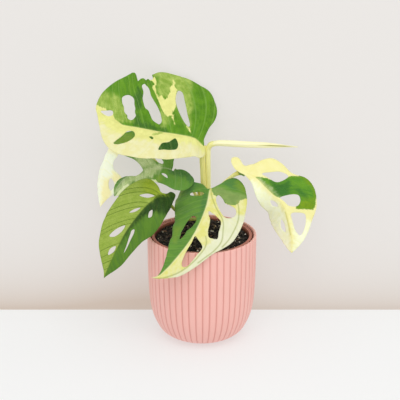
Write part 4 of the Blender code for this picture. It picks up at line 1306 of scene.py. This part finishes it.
# Front leaf
# A blade folded along its midrib and hanging over the rim of the pot. Its left half is green
# with two holes, and its right half nearly all cream with three.
make_blade(
    "leaf_front",
    rib=[(10, -8, 201), (6, -27, 188), (-2, -47, 173), (-14, -65, 156), (-30, -79, 139),
         (-44, -86, 125), (-54, -89, 117.5), (-69, -90, 115.5)],
    face=[(0.1, -0.7, 0.7), (0.1, -0.85, 0.5), (0.2, -0.95, 0.3)],
    fold=[(5, 5, 10), (-45, -45, -30)],
    curl=[(-30, -30, -10), (-10, -10, 0)],
    margin=[(-3, 2), (-14, 14), (-23, 30), (-28, 42), (-23, 51), (-10, 57), (5, 57.5), (20, 55),
            (30, 50), (40, 47), (60, 41), (70, 36.5), (80, 31.5), (90, 27), (100, 21),
            (110, 15.5), (120, 10), (131, 4), (139, 1.0), (147, 0), (137, -4), (127, -11),
            (118, -17.5), (103, -24), (87, -29), (76, -33), (66, -40), (54, -47), (38, -50),
            (18, -50), (-2, -48), (-18, -42), (-26, -30), (-22, -20), (-11, -10)],
    corners=[(147, 0)],
    holes=[[(-6, 33), (-3, 33), (1, 24), (5, 12), (3, 9), (0, 11), (-4, 22)],
           [(39, 17), (45, 20.5), (52, 22), (62, 21.5), (72, 21), (81, 16), (74, 14), (66, 14),
            (58, 9), (50, 7), (43, 9)],
           [(5, -12), (9, -9.5), (15, -10.5), (21, -14), (26, -18), (30, -22), (32.5, -28),
            (31, -33), (28, -36.5), (23, -38.5), (17, -36), (15, -29), (14, -22), (9, -18)],
           [(31, -5), (36, -6), (42, -10), (50, -12), (58, -14), (63, -18), (62.5, -22),
            (60, -28), (52, -26), (44, -25), (39, -23), (36, -18), (33, -11)],
           [(70, -2.5), (80, -3), (92, -4), (100, -6), (107, -9), (109, -12), (106, -16),
            (98, -17), (88, -17), (78, -17.5), (75, -15), (72, -8)]],
    veins=((-4, 4, 13, 22, 31, 62, 76, 90, 104, 118), (-4, 2, 24, 28, 62, 66, 104, 116)),
    slope=(-0.3, 0.45, 0.8),
    colours={"Cream": "#DAD87A #E2E0A0", "Pale": "#E2E4C8 #DCE0BC", "Green": "#669436 #588636",
             "Light": "#7C9650 #8AA25A", "Bright": "#7A9A36 #709636", "Deep": "#50803A #4C7E40",
             "Vein": "#84AC58", "Line": "#96A04A", "Rib": "#DDE0AC"},
    shares={"Jag": 4.0, "Vein Share": 0.28, "Line Share": 0.75, "Rib Share": 0.7,
            "Net Share": 0.1, "Mottle": 0.25},
    patches={
        "green": [[(-40, 0.4), (138, 0.4), (150, 40), (60, 80), (-40, 80)],
                  [(-34, -1), (-10, -1), (0, -2.5), (6, -6), (9, -11), (14.5, -20), (15, -30),
                   (11, -37), (5, -39.5), (0, -46), (-2, -56), (-36, -54)]],
        "light": [[(-6, -3), (2, -4), (8, -9), (16, -20), (17, -31), (12, -39), (5, -42),
                   (0, -50), (-5, -50), (-5, -36), (-3, -24), (-8, -14)],
                  [(-27, 44), (-12, 50), (4, 54), (2, 60), (-20, 58)]],
        "bright": [[(58, 26), (72, 24), (90, 17), (88, 24), (74, 33), (60, 38)],
                   [(-24, -32), (-14, -30), (-8, -40), (-6, -50), (-20, -48)]],
        "deep": [[(-3, 3), (8, 1), (40, 2), (60, 3), (40, 6), (14, 10), (4, 10)],
                 [(-28, 28), (-16, 24), (-8, 34), (-10, 44), (-24, 42)],
                 [(-36, -6), (-14, -14), (-9, -26), (-9, -40), (-9, -54), (-36, -54)]],
        "pale": [[(30, -25), (62, -22), (76, -18), (110, -16), (128, -8), (120, -26), (60, -60),
                  (16, -60), (24, -40)]],
    },
    lines=[[(-4, -1), (8, -3.5), (20, -9.5), (27.6, -15.8), (38.3, -25.8), (48.8, -30.4),
            (60, -34), (72, -32), (84, -27.5), (95, -24)],
           [(6.8, -36.5), (16.3, -40.5), (31, -43.2), (43.4, -42.8), (56, -41), (65, -38)],
           [(64, -14), (70, -18.4), (76, -20), (84, -19.8), (96.4, -19), (112.8, -14.9),
            (126, -9), (137, -3.5), (144, -0.8)]],
    wave_start=1.2,
)

# Left leaf
# A hanging blade that shows its upper side. Its left half is yellow-green, and its right
# half dark green, with small narrow holes in rows beside the midrib.
make_blade(
    "leaf_left",
    rib=[(-46.8, -16, 195.1), (-54.8, -20, 196.1), (-66.8, -28, 190.2), (-80.7, -38, 177.2),
         (-93.7, -47, 161.3), (-102.6, -54, 146.4), (-111.6, -60, 129.4), (-121.6, -64, 106.5)],
    face=[(-0.1, -0.6, 0.75), (-0.15, -0.8, 0.55), (-0.2, -0.9, 0.35)],
    fold=[(-10, -20, 0), (-5, -10, 0)],
    curl=[(-10, -10, 0), (-10, -10, 0)],
    margin=[(1, 8), (0, 18), (1, 27), (4, 33), (15, 38), (22, 40), (30, 40.5), (45, 39.5),
            (60, 38), (68, 36), (80, 33), (90, 29), (100, 24), (110, 17), (120, 9), (129, 2.5),
            (135, 0), (128, -4), (122, -8), (115, -12), (108, -15), (90, -19), (70, -24),
            (62, -27), (55, -29.5), (45, -30), (30, -29.5), (20, -28), (12, -26), (5, -22),
            (-2, -16), (-8, -9), (-16, 3), (-12, 8), (-4, 5)],
    corners=[(135, 0)],
    holes=[[(25, 18), (17, 13), (12, 4), (20, 7)],
           [(48, 12), (40, 9), (35, 4), (43, 6)],
           [(85, 17), (76, 15), (64, 6), (72, 5), (83, 11)],
           [(106, 7), (98, 8), (92, 3), (99, 2)],
           [(38, -12), (31, -8), (26, -9), (33, -14)],
           [(62, -7), (65, -5), (70, -6), (84, -8.5), (95, -10), (88, -10.5), (78, -10),
            (66, -9)]],
    veins=((3, 9, 24, 31, 50, 57, 86, 98, 110, 121), (-3, 6, 14, 24, 42, 52, 96, 106, 116)),
    slope=(0.2, 0.75, 1.1),
    colours={"Green": "#5C8628 #507A2A", "Light": "#98B246 #A8BE58", "Bright": "#94AC2A #A2B63C",
             "Deep": "#1C3A0A #244612", "Vein": "#55701C", "Rib": "#6E8A30"},
    shares={"Jag": 4.0, "Vein Share": 0.75, "Rib Share": 0.2, "Net Share": 0.3, "Mottle": 0.2,
            "Crisp Light": 0.85},
    vein_sides=(1.0, 0.15),
    bend=0.012,
    patches={
        "green": [[(-30, 60), (150, 60), (150, -50), (-30, -50)]],
        "light": [[(16, 0.3), (145, 0.3), (145, 60), (-10, 60), (-12, 14), (0, 9), (8, 4)]],
        "bright": [[(-4, 2), (16, 3), (20, 12), (14, 30), (4, 38), (-6, 34)]],
        "deep": [[(-20, 14), (0, 12), (9, 8), (20, 4), (70, 4), (96, 2), (80, -1.5), (56, -3.5),
                  (40, -7), (28, -13), (16, -18), (10, -32), (0, -34), (-22, -8)]],
    },
    wave_start=0.6,
)

# Right leaf
# A blade folded over its midrib, so that the far half shows as a narrow band. It has grown
# nearly without green: one dark patch crosses the near half between two of its holes.
make_blade(
    "leaf_right",
    rib=[(56, 0, 221), (68, -3, 217), (80, -8, 207), (91, -12, 196), (100, -15, 187),
         (106, -18, 176), (111, -22, 158), (114, -25, 140), (114, -27, 123)],
    face=[(0.1, -0.55, 0.8), (0.3, -0.75, 0.6), (0.3, -0.9, 0.35)],
    fold=[(0, 0, 0), (-20, -72, -62)],
    curl=[(-10, -20, 0), (-10, -10, 0)],
    margin=[(-1, 3), (-9, 2), (-15.5, -0.5), (-21, -5), (-24.3, -10.5), (-24.5, -15),
            (-21.5, -18), (-17, -18.5), (-13, -15.5), (-8.5, -11.3), (-5, -10.8), (-1.5, -14.5),
            (3, -19.5), (8, -28.5), (16, -38.5), (27, -41.8), (40, -42), (53, -52.5), (66, -53.5),
            (79, -46), (91, -33), (103, -23), (116, -12), (126, 0), (120, 9), (108, 20),
            (95, 28), (80, 32), (50, 26), (28, 18), (10, 8)],
    corners=[(126, 0)],
    holes=[[(17, -9), (24, -20), (32, -31), (40, -35), (40, -25), (36, -15), (26, -11)],
           [(53, -3), (55, -12), (63, -27), (69, -25), (72, -18), (67, -7), (59, -4)],
           [(77, -6), (79, -16), (84, -25), (93, -22), (105, -12), (100, -7), (88, -5)],
           [(48, 9), (53, 6), (61, 8), (57, 14)],
           [(80, 12), (86, 8), (99, 9), (93, 15)]],
    veins=((8, 20, 34, 66, 74, 102, 112), (-6, 4, 44, 48, 73, 76, 108, 116)),
    slope=(-0.2, 0.3, 0.6),
    colours={"Cream": "#EAE6A6 #E8E39C", "Pale": "#F0F5D6 #EFF3C8", "Green": "#5C9422 #6A9E24",
             "Light": "#A3B276 #B8C890", "Bright": "#78980C #82A214", "Deep": "#336822 #3A7228",
             "Vein": "#3E7428", "Line": "#BCBA50", "Rib": "#D8D070"},
    shares={"Jag": 3.0, "Vein Share": 0.4, "Line Share": 0.7, "Rib Share": 0.3,
            "Net Share": 0.2, "Mottle": 0.4},
    vein_sides=(0.2, 1.0),
    wave=0.3,
    glow=0.1,
    patches={
        "green": [[(12, 0.6), (30, 1.0), (44, 0.4), (50, -1), (54, -4), (56, -10), (60, -20),
                   (64, -22), (70, -18), (74, -14), (78, -24), (80.5, -31), (82.5, -38), (80, -43),
                   (74, -48), (70, -60), (50, -60), (47, -46), (42, -38), (40, -30), (38, -18),
                   (30, -12), (22, -7)]],
        "light": [[(10, 2), (30, 2), (50, 0.5), (52, -2.5), (38, -3.5), (24, -2.5)]],
        "bright": [[(74, -10), (76, -20), (84, -36), (82, -46), (74, -44), (69, -32), (70, -20)],
                   [(44, -44), (52, -49), (62, -51), (74, -47), (72, -60), (48, -60)]],
        "deep": [[(28, -9), (44, -3), (52, -4), (55, -14), (52, -24), (44, -30), (38, -16)],
                 [(49, -27), (62, -29), (72, -36), (68, -38), (58, -33)]],
        "pale": [[(10, 6), (50, 4), (126, 3), (130, 40), (10, 40)],
                 [(84, -4), (124, -2), (130, -20), (96, -36), (90, -24), (100, -14)]],
    },
    # Painted shade: an olive line along the far side of the folded midrib.
    lines=[[(72, 1.2), (86, 1.6), (102, 1.2)]],
    wave_start=2.0,
)

# Middle leaf
# A dark blade behind the top, front and left leaves. Its upper half stands up behind the top
# leaf and shows through the holes there, and its lower margin is cream.
make_blade(
    "leaf_middle",
    rib=[(-35.1, 30, 214.3), (-48.1, 28.5, 218.2), (-66.2, 26, 218), (-81.3, 22, 216),
         (-97.4, 16.5, 208.8), (-107.4, 13, 198.6), (-112.5, 12, 186.1)],
    face=[(0.0, -0.7, 0.7), (-0.1, -0.7, 0.7), (-0.3, -0.7, 0.6)],
    fold=[(20, 10, 0), (0, 0, 0)],
    curl=[(-40, -40, -20), (-10, -10, -10)],
    margin=[(3, -1), (2.6, 6), (2.4, 15), (-3, 30), (-2, 45), (14, 58), (38, 62), (52, 60),
            (60, 53), (59, 42), (53, 28), (47, 19), (44, 12), (42, 5), (41.5, 0), (45, -3.5),
            (50, -5.3), (55, -4.5), (60, -1), (66, 2.5), (73, 4.8), (80, 5), (88, 3), (95, 0),
            (88, -9), (72, -13), (48, -18), (30, -21), (14, -27), (-4, -31), (-18, -26),
            (-27, -10), (-22, 0), (-15, 3.5), (-10, 4.2), (-4, 3)],
    corners=[(95, 0)],
    holes=[[(28, 15), (20, 15), (15, 9), (16, 6), (22, 8.5)],
           [(18, -9.5), (14, -9.5), (10.5, -12), (9.5, -16), (13, -15)]],
    veins=((6, 14, 30, 38, 66, 76), (-8, 0, 20, 30, 40, 52, 64, 76)),
    slope=(-0.2, 0.3, 0.9),
    colours={"Cream": "#DDE9B4 #E2EABC", "Pale": "#DDE9B4 #E2EABC", "Green": "#669436 #5C9036",
             "Light": "#C2D494 #D2DFAA", "Bright": "#7FA028 #86A53A", "Deep": "#3A6A2C #437438",
             "Vein": "#8CAA68", "Rib": "#C4D0A4"},
    shares={"Jag": 3.5, "Vein Share": 0.3, "Rib Share": 0.5, "Net Share": 0.12, "Mottle": 0.35},
    # Painted light: a glow lightens this leaf where the others shade it.
    glow=0.08,
    patches={
        "green": [[(-40, 80), (110, 80), (110, -40), (-40, -40)]],
        "light": [[(17, 4), (26, 3), (40, 3), (44, -5), (62, -2), (90, 0), (88, -8), (70, -11),
                   (52, -14), (32, -15), (24, -9)],
                  [(24, 4), (42, 2), (48, 14), (42, 22), (28, 18)]],
        "bright": [[(17, -12), (26, -14), (27, -22), (18, -20)],
                   [(40, 30), (54, 40), (58, 56), (40, 58)]],
        "deep": [[(-30, 6), (6, 4), (10, -3), (2, -8), (-10, -8), (-24, -14), (-30, -4)],
                 [(-8, 26), (18, 24), (24, 40), (20, 60), (-10, 60)],
                 [(66, -2), (74, -5), (82, -2), (76, 4), (67, 3)]],
        "bare": [[(22, -26), (28, -18.5), (45, -15.5), (58, -13.6), (64, -16), (60, -24),
                  (24, -32)],
                 [(68, -9), (80, -6.5), (93, -2), (99, -3), (88, -14), (72, -18)]],
    },
    wave_start=3.0,
)

# Rear leaf
# A small pale blade that hangs behind the rest at the left, cream with a faint green cast.
make_blade(
    "leaf_rear",
    rib=[(-116.9, 60, 234.5), (-123.9, 62, 221.8), (-128.8, 62, 207.3), (-132.7, 61, 190.6),
         (-133.7, 59, 172.8), (-133.7, 55, 153.7)],
    face=[(-0.2, -0.8, 0.5), (-0.3, -0.8, 0.4), (-0.3, -0.9, 0.3)],
    fold=[(0, 0, 0), (-10, -50, -40)],
    curl=[(-10, -10, 0), (-10, -10, 0)],
    margin=[(-3, 2), (-1, 4), (10, 4), (20, 4.5), (28, 6), (33, 9.5), (38, 12), (46, 12),
            (55, 10.5), (65, 7.5), (75, 3.5), (83, 0), (73, -9), (63, -20), (49, -30),
            (33, -28), (24, -14), (12, -11), (3, -12), (-5, -8)],
    corners=[(83, 0)],
    holes=[[(40, -14), (45, -12), (53, -12.5), (59, -15), (55, -19), (46, -20)]],
    veins=((8, 20, 32, 44, 56, 68), (6, 18, 30, 40, 62, 70)),
    slope=(0.0, 0.35, 0.7),
    colours={"Cream": "#EEE7B0 #ECE4AA", "Pale": "#EEF4DE #EAF2DC", "Rib": "#F0EFC0"},
    shares={"Vein Share": 0.3, "Rib Share": 0.3, "Net Share": 0.1},
    # Painted light: the strongest leaf glow, for this leaf hanging behind the rest.
    glow=0.22,
    patches={
        "pale": [[(5, 20), (90, 20), (90, 0), (60, -2), (44, -4), (40, -16), (30, -16), (30, -40),
                  (8, -30), (4, -10)],
                 [(44, -20), (70, -14), (60, -40), (40, -40)]],
    },
    wave_start=4.0,
)

# Furled leaf
# The newest leaf, still rolled up along its length. It is one pale blade wound on itself to a
# long spear, and the outer edge of the roll shows as a seam that runs to the fine tip, with
# painted shade along its outer stretch.
SPEAR = [(13.6, 31.4, 249.6), (19.5, 29.8, 251.3), (30, 28.5, 251.6), (55, 25, 251.2),
         (85, 22, 251), (122, 20, 249.4)]
SPEAR_STEP = 1.2
SPEAR_RADII = (3.2, 3.8, 3.9, 3.8, 3.6, 3.3, 2.3, 1.25, 0.45)
SPEAR_SIDES = 40
SPEAR_OVERLAP = 0.16
SPEAR_GLOW = 0.06
SPEAR_COLOURS = ("#F6F4CC", "#F3EFB6")
SEAM_SHADE_COLOUR = "#8E8E20"
SEAM_START = 0.75
SEAM_TURN = 0.12
SEAM_STEEP = 0.05
SEAM_SHADE_WIDTH = 0.8
SEAM_SHADE_SPOTS = (0.0, 0.52, 0.68, 0.84, 0.93, 1.0)
SEAM_SHADE_SHARES = (0.0, 0.1, 1.0, 0.95, 0.35, 0.1)

spear_line = even_steps(smooth_path(SPEAR, PATH_STEPS), SPEAR_STEP)
spear_length = path_length(spear_line)


def spear_radius(way):
    """Radius of the spear at a way along it."""
    return float(np.interp(way, np.linspace(0, spear_length, len(SPEAR_RADII)), SPEAR_RADII))


def past_seam(turn, way):
    """Share of a turn from the seam to a place on the roll."""
    return (turn + SEAM_START + SEAM_TURN * way / spear_length) % 1.0


def roll(turn, way):
    """Share added to the radius round the roll: it grows slowly and drops at the seam."""
    past = past_seam(turn, way)
    return SPEAR_OVERLAP * (past if past < 1 - SEAM_STEEP else (1 - past) / SEAM_STEEP)


def spear_skin_material():
    """Soft waxy skin, pale yellow with fine streaks, olive painted shade along the seam and a
    faint painted glow.
    """
    made, tree, shader = new_material("furled_leaf_skin")
    streak = clouds(stretched(flat_place(tree, "skin"), (14.0, 2.0, 1.0)), 1.0, 4.0)
    body = blend(ramp(streak, 0.35, 0.65), *[linear(code) for code in SPEAR_COLOURS])
    # Painted shade: olive along the seam of the roll.
    body = blend(mark(tree, "seam"), body, linear(SEAM_SHADE_COLOUR))
    feed(shader, {
        # Painted light: the spear glows faintly by itself.
        "Base Color": body,
        "Emission Color": body,
        "Emission Strength": SPEAR_GLOW,
        "Roughness": ramp(streak, 0.3, 0.7, 0.38, 0.5),
        "Normal": relief(streak, 0.4, SKIN_RELIEF)})
    return made


spots, faces, flat = tube(spear_line, spear_radius, SPEAR_SIDES, roll)
turns = np.r_[np.tile(np.arange(SPEAR_SIDES) / SPEAR_SIDES, len(spear_line)), 0, 0]
ways = flat[:, 1] * 100
shares = ways / spear_length
radii = np.interp(shares, np.linspace(0, 1, len(SPEAR_RADII)), SPEAR_RADII)
seam_turn = past_seam(turns, ways)
seam_way = np.minimum(seam_turn, 1 - seam_turn) * 2 * math.pi * radii
# Painted shade along the seam, strongest on the outer part of the spear.
seam_shade_mark = np.interp(shares, SEAM_SHADE_SPOTS, SEAM_SHADE_SHARES) * np.exp(-(seam_way / SEAM_SHADE_WIDTH) ** 2)
furled = link_object("furled_leaf", solid_mesh(
    "furled_leaf", spots, faces, spear_skin_material(), {"skin": flat}, {"seam": seam_shade_mark}))
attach(furled, "root")
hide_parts("leaf_furled")

# Table and wall
# A smooth white table stands just off a pale warm grey wall behind the plant. Neither is part
# of the plant. The wall is seen from its front alone, so that the back can be viewed too. Painted
# shade darkens the wall towards its foot, most just left of the pot.
TABLE_BACK_Y = 72.3
WALL_Y = 80.0
ROOM_HALF = 2500.0
PAINT_SHADES = (0.99, 1.01)
PAINT_ROUGHNESS = 0.85
PAINT_GLOSS = 0.2
FOOT_SHADE_HEIGHT = 38.0
FOOT_SHADE_X = 80.0
FOOT_SHADE_REACH = 90.0
FOOT_SHADE_SHARE = 0.4
FOOT_SHADE_SIDES = (-0.1, 0.2)
FOOT_SHADE_SIDE_SHARES = (0.92, 0.7)


def stage_material(name, colour, glow, foot_shade_loss, one_sided):
    """Matt paint with a faint unevenness. glow is the share of its light that comes from the
    bright room all round. The foot loss is painted shade: what its colour loses down at the foot
    of the wall, most just left of the pot, where it stands in for the plant's shadow. One-sided
    paint is clear from behind."""
    made, tree, shader = new_material(name)
    place = object_place(tree)
    x, _, z = axes(place)
    tone = blend(clouds(place, 3.0, 2.0), *[linear(colour, shade) for shade in PAINT_SHADES])
    # Painted shade: darker towards the foot of the wall, most just left of the pot as a painted
    # shadow of the plant.
    near_foot = calc("POWER", math.e, z / (-FOOT_SHADE_HEIGHT * MM))
    beside = (x + FOOT_SHADE_X * MM) / (FOOT_SHADE_REACH * MM)
    side = calc("POWER", math.e, beside * beside * -1.0) * FOOT_SHADE_SHARE
    side = side + ramp(x, *FOOT_SHADE_SIDES, *FOOT_SHADE_SIDE_SHARES)
    kept = [1.0 - loss for loss in foot_shade_loss] + [1.0]
    tone = blend(calc("MINIMUM", near_foot * side, 1.0), tone, kept, "MULTIPLY")
    feed(shader, {
        "Base Color": blend(1.0, tone, (1 - glow, 1 - glow, 1 - glow, 1.0), "MULTIPLY"),
        "Emission Color": tone,
        "Emission Strength": glow,
        "Roughness": PAINT_ROUGHNESS,
        "Specular IOR Level": PAINT_GLOSS})
    if one_sided:
        behind = node(tree, "ShaderNodeNewGeometry", output="Backfacing")
        clear = node(tree, "ShaderNodeBsdfTransparent")
        seen = node(tree, "ShaderNodeMixShader", {0: behind, 1: Field(shader.outputs[0]), 2: clear})
        feed(tree.nodes["Material Output"], {"Surface": seen})
    return made


def stage_sheet(name, corners, material):
    """A flat sheet of the stage."""
    mesh = bpy.data.meshes.new(name)
    mesh.from_pydata([tuple(c * MM for c in corner) for corner in corners], [], [(0, 1, 2, 3)])
    mesh.materials.append(material)
    link_object(name, mesh)


stage_sheet("table", [(-ROOM_HALF, -ROOM_HALF, 0), (ROOM_HALF, -ROOM_HALF, 0),
                      (ROOM_HALF, TABLE_BACK_Y, 0), (-ROOM_HALF, TABLE_BACK_Y, 0)],
            stage_material("table_white", "#F3F4F4", 0.55, (0.0, 0.0, 0.0), False))
stage_sheet("wall", [(-ROOM_HALF, WALL_Y, -ROOM_HALF), (ROOM_HALF, WALL_Y, -ROOM_HALF),
                     (ROOM_HALF, WALL_Y, ROOM_HALF), (-ROOM_HALF, WALL_Y, ROOM_HALF)],
            stage_material("wall_grey", "#E9E6E3", 0.6, (0.2, 0.3, 0.38), True))

# Light and camera
# Broad soft daylight from high in front, a little from the right, with an even fill, and a
# long lens that looks slightly down on the pot.
KEY_PLACE = (250.0, -1500.0, 2000.0)
KEY_AIM = (0.0, 0.0, 150.0)
KEY_SIZE = 1900.0
KEY_POWER = 22.0
WORLD_COLOUR = (1.0, 0.985, 0.965, 1.0)
WORLD_STRENGTH = 0.74
CAMERA_PLACE = (-2.4, -1678.5, 790.0)
CAMERA_PITCH = 19.8185
CAMERA_LENS = 126.27
CAMERA_CLIP_END = 20.0

key = bpy.data.lights.new("key_light", "AREA")
key.energy = KEY_POWER
key.size = KEY_SIZE * MM
key_object = link_object("key_light", key)
key_object.location = Vector(KEY_PLACE) * MM
aim = Vector(KEY_AIM) - Vector(KEY_PLACE)
key_object.rotation_euler = aim.to_track_quat("-Z", "Y").to_euler()

world = bpy.data.worlds.new("soft_room")
world.use_nodes = True
sky = world.node_tree.nodes["Background"]
sky.inputs["Color"].default_value = WORLD_COLOUR
sky.inputs["Strength"].default_value = WORLD_STRENGTH
bpy.context.scene.world = world
bpy.context.scene.view_settings.view_transform = "Standard"

camera = bpy.data.cameras.new("camera")
camera.lens = CAMERA_LENS
camera.clip_end = CAMERA_CLIP_END
camera_object = link_object("camera", camera)
camera_object.location = Vector(CAMERA_PLACE) * MM
camera_object.rotation_euler = (math.radians(90.0 - CAMERA_PITCH), 0.0, 0.0)
bpy.context.scene.camera = camera_object
